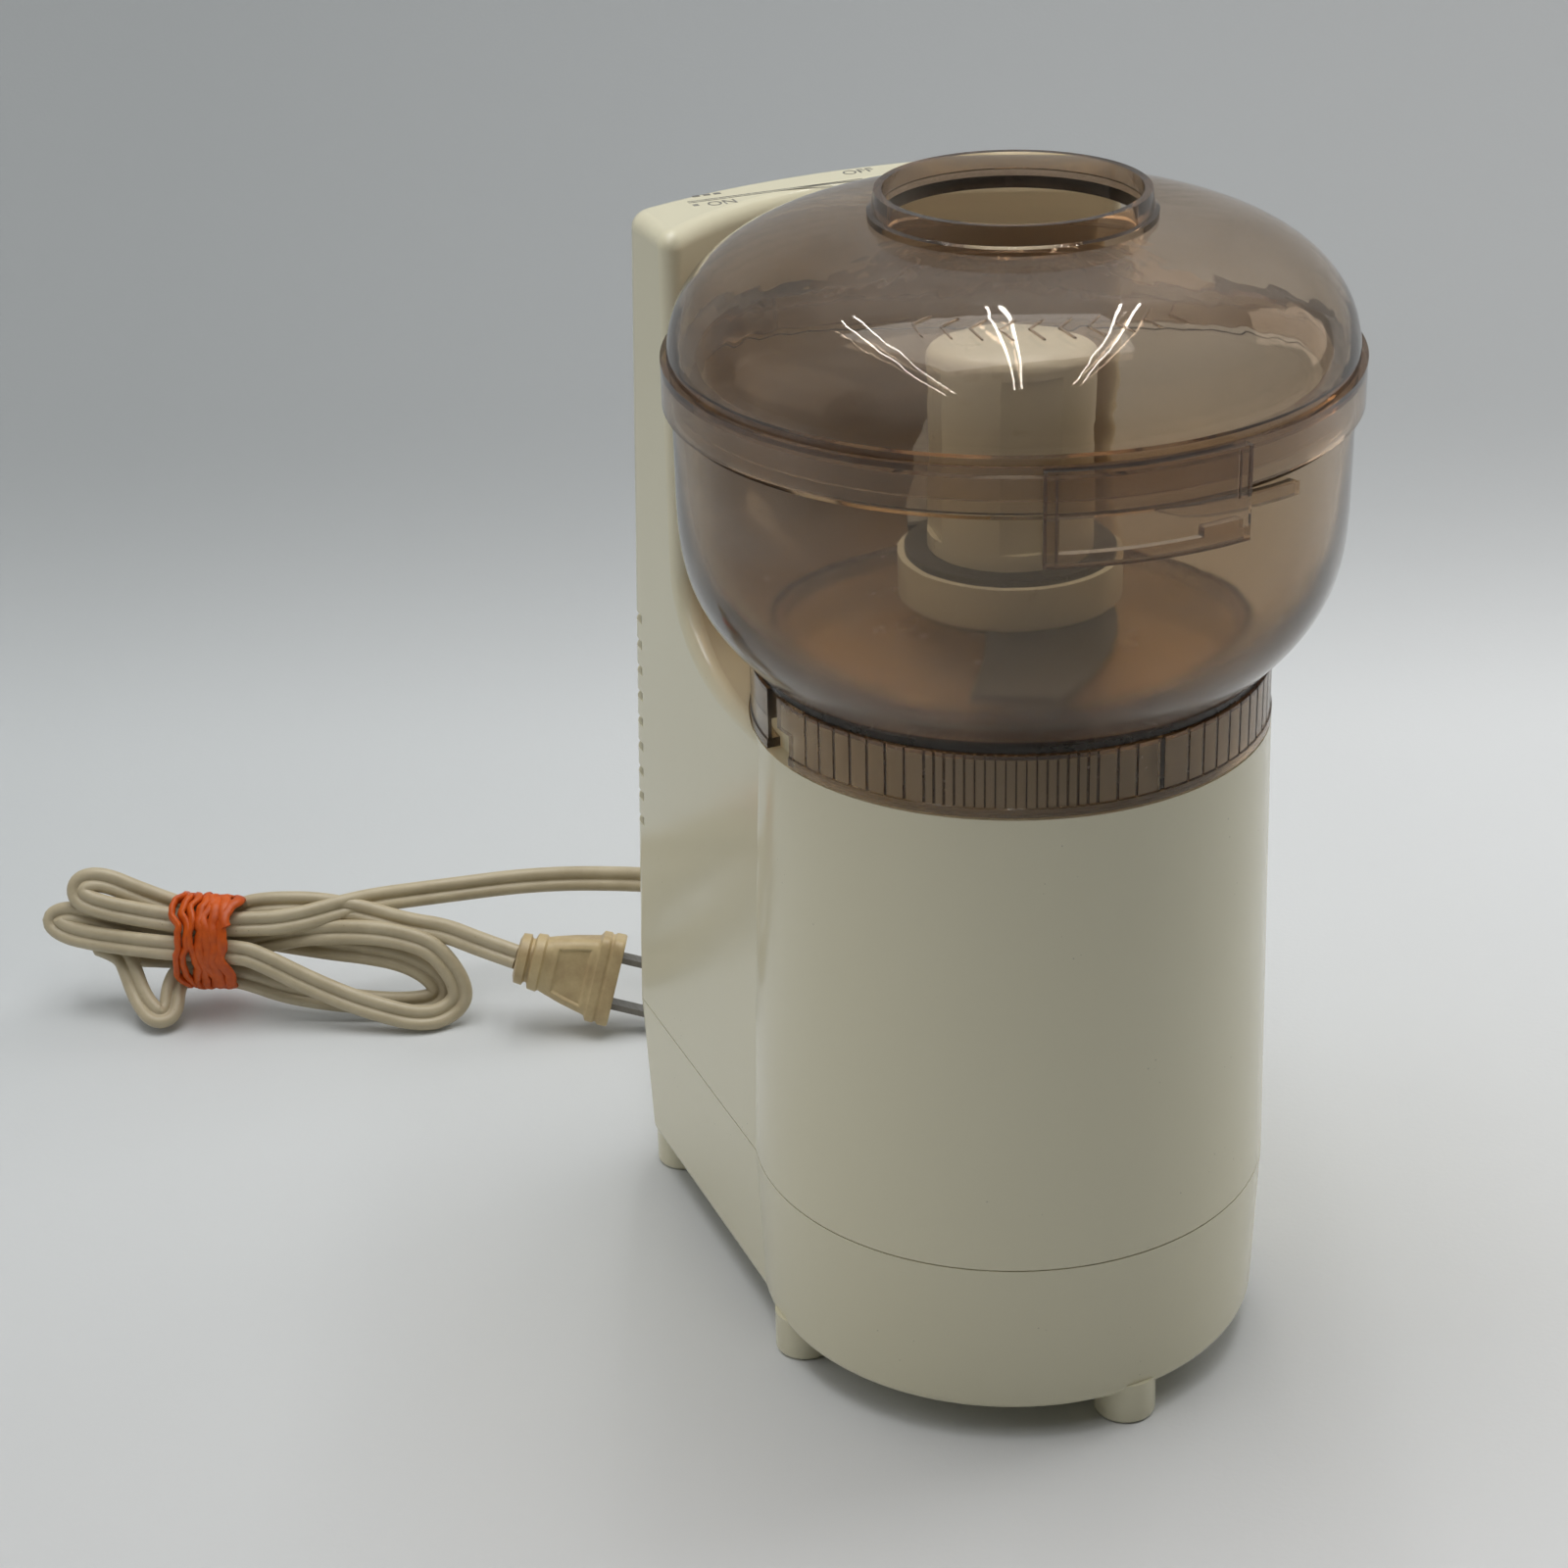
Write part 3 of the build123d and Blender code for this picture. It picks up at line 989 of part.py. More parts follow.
def brush_holders():
    """Two insulating blocks on the lower bracket, each with a square channel."""
    blocks = Part()
    half = BRUSH_SIZE / 2 + MOTOR_SCREW_CLEARANCE
    inner = COMMUTATOR_RADIUS + 3.5
    for side in (-1, 1):
        x_low, x_high = sorted((side * inner, side * BRUSH_HOLDER_REACH))
        holder = block(x_low, x_high, -half - 3.3, half + 3.3, LOWER_BRACKET_Z + BRACKET, BRUSH_Z + half + 2.3)
        x_low, x_high = sorted((side * (inner - 1), side * (BRUSH_HOLDER_REACH - 2)))
        holder -= block(x_low, x_high, -half, half, BRUSH_Z - half, BRUSH_Z + half)
        blocks += holder
    return MOTOR * blocks


def carbon_brushes():
    """Two square carbon brushes."""
    brushes = Part()
    half = BRUSH_SIZE / 2
    for side in (-1, 1):
        x_low, x_high = sorted((side * (COMMUTATOR_RADIUS + 0.2), side * BRUSH_REACH))
        brushes += block(x_low, x_high, -half, half, BRUSH_Z - half, BRUSH_Z + half)
    return MOTOR * brushes


def brush_springs():
    """Coil springs that press the brushes on the commutator."""
    springs = Part()
    length = BRUSH_HOLDER_REACH - 2 - BRUSH_REACH - 0.8
    middle = BRUSH_REACH + length / 2 + 0.4
    for side in (-1, 1):
        path = Helix(pitch=1.4, height=length, radius=BRUSH_SIZE / 2 - 0.8)
        wire = Pos(path @ 0) * Rot(90, 0, 0) * Circle(0.3)
        coil = sweep(wire, path)
        springs += Pos(side * middle, 0, BRUSH_Z) * Rot(0, side * 90, 0) * Pos(0, 0, -length / 2) * coil
    return MOTOR * springs


def cooling_fan():
    """Radial fan on the lower end of the motor shaft."""
    fan = cylinder(FAN_RADIUS, FAN_LOW_Z, FAN_LOW_Z + 1.6)
    hub = SHAFT_RADIUS + 3.5
    fan += cylinder(hub, FAN_LOW_Z, FAN_LOW_Z + FAN_HEIGHT)
    for vane in range(FAN_BLADES):
        fin = block(hub - 0.5, FAN_RADIUS - 1, -0.7, 0.7, FAN_LOW_Z, FAN_LOW_Z + FAN_HEIGHT)
        fan += Rot(0, 0, 360 * vane / FAN_BLADES) * fin
    return MOTOR * (fan - cylinder(SHAFT_RADIUS + PRESS, FAN_LOW_Z - 1, FAN_LOW_Z + FAN_HEIGHT + 1))


# ---------------------------------------------------------------- cord
def strain_relief():
    """Flexible tapered sleeve clipped in the back of the base."""
    along = Pos(0, RELIEF_Y, CORD_EXIT_Z) * Rot(-90, 0, 0)
    upright = (Align.CENTER, Align.CENTER, Align.MIN)
    tip = CORD_DIAMETER / 2 + 1.1
    sleeve = Pos(0, 0, 0.7) * Cone(tip + 1.8, tip, RELIEF_LENGTH - 0.7, align=upright)
    for rib in range(RELIEF_RIBS):
        groove = Cylinder(RELIEF_FLANGE, 1.3, align=upright)
        groove -= Cylinder(tip - 0.4 - 0.2 * rib, 1.3, align=upright)
        sleeve -= Pos(0, 0, 5 + 4 * rib) * groove
    sleeve += Pos(0, 0, 0.7) * Cylinder(RELIEF_FLANGE, 2.0, align=upright)
    sleeve += Pos(0, 0, -8) * Cylinder(RELIEF_NECK, 9, align=upright)
    sleeve += Pos(0, 0, -5.5) * Cylinder(RELIEF_FLANGE - 1, 2.4, align=upright)
    return along * sleeve


def route(points):
    """Straight runs joined by arcs as large as the runs allow, with the radii."""
    radii = []
    for before, corner, after in zip(points, points[1:], points[2:]):
        run_in = corner - before
        run_out = after - corner
        turn = math.radians(run_in.get_angle(run_out))
        radii.append(0.45 * min(run_in.length, run_out.length) / math.tan(turn / 2))
    return FilletPolyline(*points, radius=radii), radii


def cord_tube(name, points):
    """Round stand-in for the flat cord along a route."""
    path, radii = route(points)
    start = Plane(origin=path @ 0, z_dir=path % 0)
    tube_part = sweep(start * Circle(CORD_DIAMETER / 2), path)
    print(name, "length", round(path.length, 1), "radii", [round(r, 1) for r in radii],
          "volume ratio", round(tube_part.volume / (path.length * math.pi * CORD_DIAMETER ** 2 / 4), 4))
    return tube_part


# Where the cord lies, from its exit
LEAD_POINTS = [CORD_EXIT + Vector(*step) for step in (
    (0, 0, 0), (-2, 17, 0.5), (-11, 33, -0.5), (-26, 47, -2), (-49, 62, -4), (-76, 70, -6), (-97, 67, -9))]
TAIL_POINTS = [CORD_EXIT + Vector(*step) for step in (
    (-96.9, 60.2, -8.6), (-87.1, 58.6, -8), (-78.7, 53.3, -8.8), (-71.9, 45, -10.4), (-63.9, 38.4, -12.8))]
HANK_CENTRE = CORD_EXIT + Vector(-125, 74, 0)
HANK_TURN = -30.0          # degrees of the hank's line from +X
TIE_PLACE = -12.0          # middle of the tie along that line
TIE_Z = 20.5
HANK_OVALS = (             # along the line, half width, half height and middle height
    (-60, 3.5, 6.5, 26.5),
    (-50, 6.5, 11.5, 25.5),
    (TIE_PLACE - TIE_WIDTH / 2, TIE_HALF_WIDTH, TIE_HALF_HEIGHT, TIE_Z),
    (TIE_PLACE + TIE_WIDTH / 2, TIE_HALF_WIDTH, TIE_HALF_HEIGHT, TIE_Z),
    (16, 8.5, 12.6, 17.5),
    (45, 7.0, 11.5, 12.5),
    (57, 4.0, 6.0, 10.5),
)
PLUG_TURN = -26.0          # degrees of the plug's line from +X
PLUG_PITCH = 14.3          # nose down
PLUG_LEAN = 15.0           # roll about its own line


def hank_frame(along):
    """Place on the hank's own line, x along it."""
    return Pos(HANK_CENTRE.X, HANK_CENTRE.Y, 0) * Rot(0, 0, HANK_TURN) * Pos(along, 0, 0)


def hank_section(along, half_width, half_height, z):
    """Oval outline across the hank."""
    oval = Plane.YZ * Ellipse(half_width, half_height)
    return hank_frame(along) * Pos(0, 0, z) * oval


def cord_hank():
    """Outer shape of the folded turns, drawn in where the tie holds them, with its hanging loop."""
    folds = loft([hank_section(*oval) for oval in HANK_OVALS], ruled=True)
    loop = [hank_frame(TIE_PLACE - 13) * Pos(0, 0, z) * Ellipse(width, CORD_DIAMETER / 2)
            for z, width in ((TIE_Z, 6.0), (CORD_DIAMETER / 2, 4.0), (0.3, 2.0))]
    return folds + loft(loop, ruled=True)


def cord_tie():
    """Rubber band wound round the hank."""
    low = TIE_PLACE - TIE_WIDTH / 2
    outer = hank_section(low, TIE_HALF_WIDTH + TIE_THICKNESS, TIE_HALF_HEIGHT + TIE_THICKNESS, TIE_Z)
    inner = hank_section(low, TIE_HALF_WIDTH, TIE_HALF_HEIGHT, TIE_Z)
    along = Vector(math.cos(math.radians(HANK_TURN)), math.sin(math.radians(HANK_TURN)), 0)
    return extrude(outer - inner, TIE_WIDTH, dir=along)


def plug_frame():
    """Place at the plug's cord end: z towards its blades, x across its width."""
    turn = math.radians(PLUG_TURN)
    pitch = math.radians(PLUG_PITCH)
    lean = math.radians(PLUG_LEAN)
    level = Vector(math.cos(turn), math.sin(turn), 0)
    aside = Vector(-math.sin(turn), math.cos(turn), 0)
    ahead = level * math.cos(pitch) - Vector(0, 0, math.sin(pitch))
    above = level * math.sin(pitch) + Vector(0, 0, math.cos(pitch))
    width = aside * math.sin(lean) + above * math.cos(lean)
    return Plane(origin=TAIL_POINTS[-1], x_dir=width, z_dir=ahead)


def plug_body():
    """Moulded plug: ribbed collar at the cord, widening to the blade face."""
    upright = (Align.CENTER, Align.CENTER, Align.MIN)
    body = Cylinder(PLUG_COLLAR_RADIUS, 9, align=upright)
    for rib in (1.5, 5.0):
        body += Pos(0, 0, rib) * Cylinder(PLUG_COLLAR_RADIUS + 1.2, 2.0, align=upright)
    neck = Pos(0, 0, 8.5) * Rectangle(2 * PLUG_COLLAR_RADIUS + 3.2, PLUG_THICKNESS - 2.4)
    face = Pos(0, 0, PLUG_LENGTH - PLUG_RIM) * Rectangle(PLUG_WIDTH - 2.5, PLUG_THICKNESS - 1)
    body += loft([neck, face], ruled=True)
    rim = Box(PLUG_WIDTH, PLUG_THICKNESS, PLUG_RIM, align=upright)
    rim = fillet(rim.edges().filter_by(Axis.Z), 2.0)
    body += Pos(0, 0, PLUG_LENGTH - PLUG_RIM) * rim
    return plug_frame() * body


def plug_blades():
    """Two flat contact blades."""
    upright = (Align.CENTER, Align.CENTER, Align.MIN)
    blades = Part()
    for side in (-1, 1):
        prong = Box(PRONG_THICKNESS, PRONG_WIDTH, PRONG_LENGTH, align=upright)
        prong = chamfer(prong.edges().group_by(Axis.Z)[-1].filter_by(Axis.X), 1.2)
        prong -= Pos(0, 0, PRONG_LENGTH - 4) * Rot(0, 90, 0) * Cylinder(1.5, 10)
        blades += Pos(side * PRONG_SPACING / 2, 0, PLUG_LENGTH) * prong
    return plug_frame() * blades


def main():
    """Build every piece and write one file for each."""
    pieces = {
        "upper_housing": upper_housing(),
        "base_housing": base_housing(),
        "housing_screws": housing_screws(),
        "strain_relief": strain_relief(),
        "gear_plate": gear_plate(),
        "gear_plate_screws": gear_plate_screws(),
        "spindle_bush_upper": spindle_bush(TOWER_TOP_Z, UPPER_BUSH_LENGTH),
        "spindle_bush_lower": spindle_bush(GEAR_PLATE_TOP_Z, LOWER_BUSH_LENGTH),
        "spindle_seal": spindle_seal(),
        "stator_core": stator_core(),
        "field_coils": field_coils(),
        "motor_bracket_lower": motor_bracket(LOWER_BRACKET_Z, BRACKET),
        "motor_bracket_upper": motor_bracket(UPPER_BRACKET_Z, 0.0),
        "motor_bearing_lower": motor_bearing(LOWER_BRACKET_Z - BRACKET, LOWER_BRACKET_Z + BRACKET + 1.5),
        "motor_bearing_upper": motor_bearing(UPPER_BRACKET_Z, UPPER_BRACKET_Z + BRACKET + 1.5),
        "motor_spacers": motor_spacers(),
        "motor_screws": motor_screws(),
        "brush_holders": brush_holders(),
        "carbon_brushes": carbon_brushes(),
        "brush_springs": brush_springs(),
        "switch_body": switch_body(),
        "switch_screws": switch_screws(),
        "rotor_shaft": rotor_shaft(),
        "rotor_core": rotor_core(),
        "rotor_windings": rotor_windings(),
        "commutator": commutator(),
        "cooling_fan": cooling_fan(),
        "pinion": pinion(),
        "spindle": spindle(),
        "spindle_clip": spindle_clip(),
        "drive_gear": drive_gear(),
        "blade_hub": blade_hub(),
        "blade_low": blade(HUB_BORE + 0.4, FLANGE_LOW_Z - BLADE_THICKNESS,
                           FLANGE_LOW_Z - BLADE_THICKNESS - LOW_BLADE_DIP, LOW_BLADE_TURN),
        "blade_high": blade(HUB_RADIUS + FIT, FLANGE_TOP_Z, FLANGE_TOP_Z + HIGH_BLADE_LIFT,
                            LOW_BLADE_TURN + 180),
        "bowl": bowl(),
        "lid": lid(),
        "interlock_plunger": plunger(),
        "switch_button": switch_button(),
        "cord_lead": cord_tube("lead", LEAD_POINTS),
        "cord_hank": cord_hank(),
        "cord_tail": cord_tube("tail", TAIL_POINTS),
        "cord_tie": cord_tie(),
        "plug_body": plug_body(),
        "plug_blades": plug_blades(),
    }
    for name, piece in pieces.items():
        export_step(Pos(0, BOWL_Y, 0) * piece, f"parts/{name}.step")


main()
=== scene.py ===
"""Dressed display model of a compact food chopper.

A cream motor housing with a rear column carries a smoky clear bowl, a bladed hub and a domed
lid. A flat two-core cord, folded and tied, ends in a moulded plug beside the base.
"""

from __future__ import annotations

import json
import logging
import math
from dataclasses import dataclass, field
from enum import Enum
from typing import Sequence

import bmesh
import bpy
from mathutils import Matrix, Vector

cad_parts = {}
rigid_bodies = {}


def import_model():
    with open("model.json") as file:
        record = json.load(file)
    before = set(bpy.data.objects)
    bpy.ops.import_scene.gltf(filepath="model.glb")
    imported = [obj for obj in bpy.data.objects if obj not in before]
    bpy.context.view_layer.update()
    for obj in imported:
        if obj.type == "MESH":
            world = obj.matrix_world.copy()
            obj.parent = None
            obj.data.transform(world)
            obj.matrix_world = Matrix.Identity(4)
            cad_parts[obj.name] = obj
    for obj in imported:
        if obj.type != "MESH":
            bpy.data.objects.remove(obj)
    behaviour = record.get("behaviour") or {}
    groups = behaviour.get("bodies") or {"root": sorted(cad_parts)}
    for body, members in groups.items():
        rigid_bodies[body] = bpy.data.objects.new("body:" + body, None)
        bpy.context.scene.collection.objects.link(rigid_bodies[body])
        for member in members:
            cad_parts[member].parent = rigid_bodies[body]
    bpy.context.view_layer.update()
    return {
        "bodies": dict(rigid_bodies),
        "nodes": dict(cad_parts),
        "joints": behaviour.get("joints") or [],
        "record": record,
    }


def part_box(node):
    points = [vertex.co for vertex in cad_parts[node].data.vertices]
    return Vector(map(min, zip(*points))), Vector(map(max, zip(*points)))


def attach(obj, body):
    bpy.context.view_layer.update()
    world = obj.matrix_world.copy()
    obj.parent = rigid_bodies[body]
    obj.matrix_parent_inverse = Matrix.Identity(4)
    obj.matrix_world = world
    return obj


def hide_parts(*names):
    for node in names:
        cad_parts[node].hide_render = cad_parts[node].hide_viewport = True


LOG = logging.getLogger("chopper")
MM = 0.001
Colour = tuple[float, float, float]
Point = tuple[float, float, float]


class Axis(Enum):
    """Stretch of the noise that draws a metal's fine lines along one axis."""

    X = (1.0, 0.04, 0.04)
    Z = (0.04, 0.04, 1.0)
    NONE = (1.0, 1.0, 1.0)


# ---------------------------------------------------------------- node trees
class Tree:
    """A node tree with one short call that adds and wires a node."""

    tree: bpy.types.NodeTree

    def add(self, kind: str, inputs: dict | None = None, **settings: object) -> bpy.types.Node:
        """Add a node.

        Args:
            kind: The node's type.
            inputs: Values or sockets for its inputs, by name or number.
            settings: Attributes to set on it.

        Returns:
            The new node.
        """
        node = self.tree.nodes.new(kind)
        for key, value in settings.items():
            setattr(node, key, value)
        for key, value in (inputs or {}).items():
            if isinstance(value, bpy.types.NodeSocket):
                self.tree.links.new(value, node.inputs[key])
            else:
                node.inputs[key].default_value = value
        return node


class Graph(Tree):
    """A material's node tree, with short calls for the nodes that the finishes share."""

    def __init__(self, name: str) -> None:
        """Start an empty material under a name."""
        self.material = bpy.data.materials.new(name)
        self.material.use_nodes = True
        self.tree = self.material.node_tree
        self.tree.nodes.clear()
        self.output = self.add("ShaderNodeOutputMaterial")

    def place(self, stretch: Point = (1.0, 1.0, 1.0)) -> bpy.types.NodeSocket:
        """Return object coordinates, stretched along their axes."""
        where = self.add("ShaderNodeTexCoord")
        return self.add("ShaderNodeMapping", {0: where.outputs["Object"], 3: stretch}).outputs[0]

    def height(self) -> bpy.types.NodeSocket:
        """Return the height above the floor, in metres."""
        where = self.add("ShaderNodeTexCoord")
        return self.add("ShaderNodeSeparateXYZ", {0: where.outputs["Object"]}).outputs[2]

    def noise(self, scale: float, detail: float = 3.0, rough: float = 0.55,
              stretch: Point = (1.0, 1.0, 1.0)) -> bpy.types.NodeSocket:
        """Return a noise value.

        Args:
            scale: Waves per metre.
            detail: Octaves.
            rough: Weight of the finer octaves.
            stretch: Factor on each axis.

        Returns:
            The noise's value socket.
        """
        values = {"Vector": self.place(stretch), "Scale": scale, "Detail": detail, "Roughness": rough}
        return self.add("ShaderNodeTexNoise", values).outputs[0]

    def spots(self, scale: float, size: float) -> bpy.types.NodeSocket:
        """Return 1 inside small round spots and 0 elsewhere.

        Args:
            scale: Cells per metre.
            size: Spot radius as a share of a cell.

        Returns:
            The mask's socket.
        """
        cells = self.add("ShaderNodeTexVoronoi", {"Vector": self.place(), "Scale": scale})
        near = self.span(cells.outputs["Distance"], size, size * 0.6, 0.0, 1.0)
        patch = self.span(self.noise(scale * 0.13, 2.0), 0.62, 0.66, 0.0, 1.0)
        return self.add("ShaderNodeMath", {0: near, 1: patch}, operation="MULTIPLY").outputs[0]

    def span(self, value: bpy.types.NodeSocket, low: float, high: float, low_out: float,
             high_out: float) -> bpy.types.NodeSocket:
        """Map a value from one range to another, clamped."""
        values = {0: value, 1: low, 2: high, 3: low_out, 4: high_out}
        return self.add("ShaderNodeMapRange", values).outputs[0]

    def uneven(self, roughness: float, scale: float, detail: float,
               high: float = 1.35) -> bpy.types.NodeSocket:
        """Vary a roughness by noise, from 0.8 of it to a higher share of it."""
        return self.span(self.noise(scale, detail), 0.3, 0.7, roughness * 0.8, roughness * high)

    def mix(self, factor: object, low: object, high: object) -> bpy.types.NodeSocket:
        """Blend two colours.

        Args:
            factor: A number or socket, 0 for the first colour.
            low: The first colour or socket.
            high: The second colour or socket.

        Returns:
            The blended colour's socket.
        """
        full = [c if isinstance(c, bpy.types.NodeSocket) else (*c, 1.0) for c in (low, high)]
        node = self.add("ShaderNodeMix", {0: factor, 6: full[0], 7: full[1]}, data_type="RGBA")
        return node.outputs[2]

    def bump(self, height: bpy.types.NodeSocket, depth: float,
             under: bpy.types.NodeSocket | None = None) -> bpy.types.NodeSocket:
        """Return a normal bent by a height.

        Args:
            height: Height from 0 to 1.
            depth: What a height of 1 stands for, in metres.
            under: A normal to add to.

        Returns:
            The normal's socket.
        """
        node = self.add("ShaderNodeBump", {"Height": height, "Distance": depth, "Strength": 1.0})
        if under is not None:
            self.tree.links.new(under, node.inputs["Normal"])
        return node.outputs[0]

    def surface(self, **inputs: object) -> bpy.types.NodeSocket:
        """Add a Principled shader and return its output.

        Args:
            inputs: Socket values, with underscores for spaces.

        Returns:
            The shader's socket.
        """
        named = {key.replace("_", " "): value for key, value in inputs.items()}
        return self.add("ShaderNodeBsdfPrincipled", named).outputs[0]

    def finish(self, shader: bpy.types.NodeSocket) -> bpy.types.Material:
        """Send a shader to the output and return the material."""
        self.tree.links.new(shader, self.output.inputs["Surface"])
        return self.material


class Shape(Tree):
    """A Geometry Nodes tree whose named inputs give a repeated or wound piece its sizes."""

    def __init__(self, name: str, sizes: dict[str, float], material: bpy.types.Material) -> None:
        """Start a tree.

        Args:
            name: The tree's name.
            sizes: Its named inputs, with their values.
            material: What the finished mesh is made of.
        """
        self.tree = bpy.data.node_groups.new(name, "GeometryNodeTree")
        self.sizes = sizes
        self.material = material
        face = self.tree.interface
        face.new_socket("Geometry", in_out="OUTPUT", socket_type="NodeSocketGeometry")
        self.keys: dict[str, str] = {}
        for key, value in sizes.items():
            kind = "NodeSocketInt" if isinstance(value, int) else "NodeSocketFloat"
            self.keys[key] = face.new_socket(key, in_out="INPUT", socket_type=kind).identifier
        self.entry = self.tree.nodes.new("NodeGroupInput")

    def size(self, key: str) -> bpy.types.NodeSocket:
        """Return a named input's socket."""
        return self.entry.outputs[key]

    def maths(self, operation: str, first: object, second: object = 0.0,
              third: object = 0.0) -> bpy.types.NodeSocket:
        """Work out a number from up to three values or sockets."""
        values = {0: first, 1: second, 2: third}
        return self.add("ShaderNodeMath", values, operation=operation).outputs[0]

    def copies_round(self, piece: bpy.types.NodeSocket) -> bpy.types.NodeSocket:
        """Copy a piece round an upright axis, by the sizes that round_sizes gives.

        Args:
            piece: The geometry to copy, facing the front.

        Returns:
            The copies' socket, as instances.
        """
        dots = self.add("GeometryNodeMeshLine", {"Count": self.size("Count")})
        index = self.add("GeometryNodeInputIndex").outputs[0]
        turn = self.maths("MULTIPLY_ADD", index, self.size("Pitch"), self.size("Start"))
        radius = self.size("Radius")
        aside = self.maths("SINE", turn)
        across = self.maths("MULTIPLY_ADD", aside, radius, self.size("Axis X"))
        inwards = self.maths("MULTIPLY", self.maths("COSINE", turn), radius)
        ahead = self.maths("SUBTRACT", self.size("Axis Y"), inwards)
        place = self.add("ShaderNodeCombineXYZ", {0: across, 1: ahead, 2: self.size("Height")})
        row = self.add("GeometryNodeSetPosition", {"Geometry": dots.outputs[0],
                                                   "Position": place.outputs[0]})
        facing = self.add("ShaderNodeCombineXYZ", {2: turn})
        copies = {"Points": row.outputs[0], "Instance": piece, "Rotation": facing.outputs[0]}
        return self.add("GeometryNodeInstanceOnPoints", copies).outputs[0]

    def mesh(self, geometry: bpy.types.NodeSocket) -> bpy.types.Mesh:
        """Close the tree and return what it makes as a plain mesh.

        Args:
            geometry: The last geometry socket.

        Returns:
            The finished mesh, with its material.
        """
        real = self.add("GeometryNodeRealizeInstances", {0: geometry}).outputs[0]
        dressed = self.add("GeometryNodeSetMaterial", {0: real})
        dressed.inputs["Material"].default_value = self.material
        leave = self.tree.nodes.new("NodeGroupOutput")
        self.tree.links.new(dressed.outputs[0], leave.inputs[0])
        carrier = linked(self.tree.name, bpy.data.meshes.new(self.tree.name))
        modifier = carrier.modifiers.new("shape", "NODES")
        modifier.node_group = self.tree
        for key, identifier in self.keys.items():
            modifier[identifier] = self.sizes[key]
        return evaluated(carrier)


# ---------------------------------------------------------------- finishes
@dataclass(frozen=True)
class Plastic:
    """Opaque moulded plastic with faint mottling, specks of dust and rubbed patches."""

    name: str
    colour: Colour
    shade: Colour
    roughness: float = 0.3
    specks: float = 0.0

    def material(self) -> bpy.types.Material:
        """Build the material."""
        graph = Graph(self.name)
        mottle = graph.span(graph.noise(9.0, 3.0), 0.3, 0.75, 0.0, 1.0)
        colour = graph.mix(mottle, self.colour, self.shade)
        if self.specks:
            dirt = tuple(c * 0.35 for c in self.shade)
            mask = graph.span(graph.spots(520.0, 0.11), 0.0, 1.0, 0.0, self.specks)
            colour = graph.mix(mask, colour, dirt)
        rub = graph.noise(55.0, 5.0, 0.62)
        rough = graph.span(rub, 0.3, 0.75, self.roughness * 0.85, self.roughness * 1.35)
        ripple = graph.bump(graph.noise(18.0, 1.0), 0.00003)
        normal = graph.bump(graph.noise(2600.0, 2.0), 0.000004, under=ripple)
        shader = graph.surface(Base_Color=colour, Roughness=rough, Normal=normal, IOR=1.5)
        return graph.finish(shader)


@dataclass(frozen=True)
class ClearPlastic:
    """Smoky see-through plastic, darker with depth, scuffed and a little milky where it is rubbed."""

    name: str
    smoke: Colour
    density: float
    haze_from: float
    haze_to: float
    hazy: float
    clear: float
    milk: float = 0.045
    skin: Colour = (0.95, 0.915, 0.86)
    veil: Colour = (0.79, 0.765, 0.735)
    gleam: Colour = (0.80, 0.74, 0.66)

    def material(self) -> bpy.types.Material:
        """Build the material."""
        graph = Graph(self.name)
        low = graph.span(graph.height(), self.haze_from, self.haze_to, self.hazy, self.clear)
        cloud = graph.span(graph.noise(70.0, 5.0, 0.65), 0.35, 0.75, 0.6, 1.5)
        rough = graph.add("ShaderNodeMath", {0: low, 1: cloud}, operation="MULTIPLY").outputs[0]
        swirl = graph.noise(26.0, 5.0, 0.6, (1.0, 1.0, 2.2))
        through = graph.span(swirl, 0.35, 0.72, 1.0 - 0.45 * self.milk, 1.0 - 1.8 * self.milk)
        normal = graph.bump(graph.noise(20.0, 1.0), 0.00016)
        glass = graph.surface(Base_Color=(*self.skin, 1.0), Roughness=rough, Normal=normal, IOR=1.49,
                              Transmission_Weight=through, Specular_Tint=(*self.gleam, 1.0))
        lamps = graph.add("ShaderNodeBsdfTransparent", {0: (*self.veil, 1.0)}).outputs[0]
        ray = graph.add("ShaderNodeLightPath").outputs["Is Shadow Ray"]
        both = graph.add("ShaderNodeMixShader", {0: ray, 1: glass, 2: lamps}).outputs[0]
        smoke = {"Color": (*self.smoke, 1.0), "Density": self.density}
        depth = graph.add("ShaderNodeVolumeAbsorption", smoke).outputs[0]
        graph.tree.links.new(depth, graph.output.inputs["Volume"])
        return graph.finish(both)


@dataclass(frozen=True)
class Metal:
    """Bare metal, drawn, ground or plated, with fine lines along one axis."""

    name: str
    colour: Colour
    roughness: float = 0.3
    lines: Axis = Axis.NONE
    tarnish: Colour = (0.12, 0.11, 0.10)
    dulled: float = 0.25

    def material(self) -> bpy.types.Material:
        """Build the material."""
        graph = Graph(self.name)
        age = graph.span(graph.noise(90.0, 5.0, 0.6), 0.45, 0.8, 0.0, self.dulled)
        colour = graph.mix(age, self.colour, self.tarnish)
        brushed = graph.noise(3000.0, 3.0, 0.6, self.lines.value)
        rough = graph.span(brushed, 0.3, 0.7, self.roughness * 0.8, self.roughness * 1.4)
        normal = graph.bump(brushed, 0.00001)
        shader = graph.surface(Base_Color=colour, Metallic=1.0, Roughness=rough, Normal=normal)
        return graph.finish(shader)


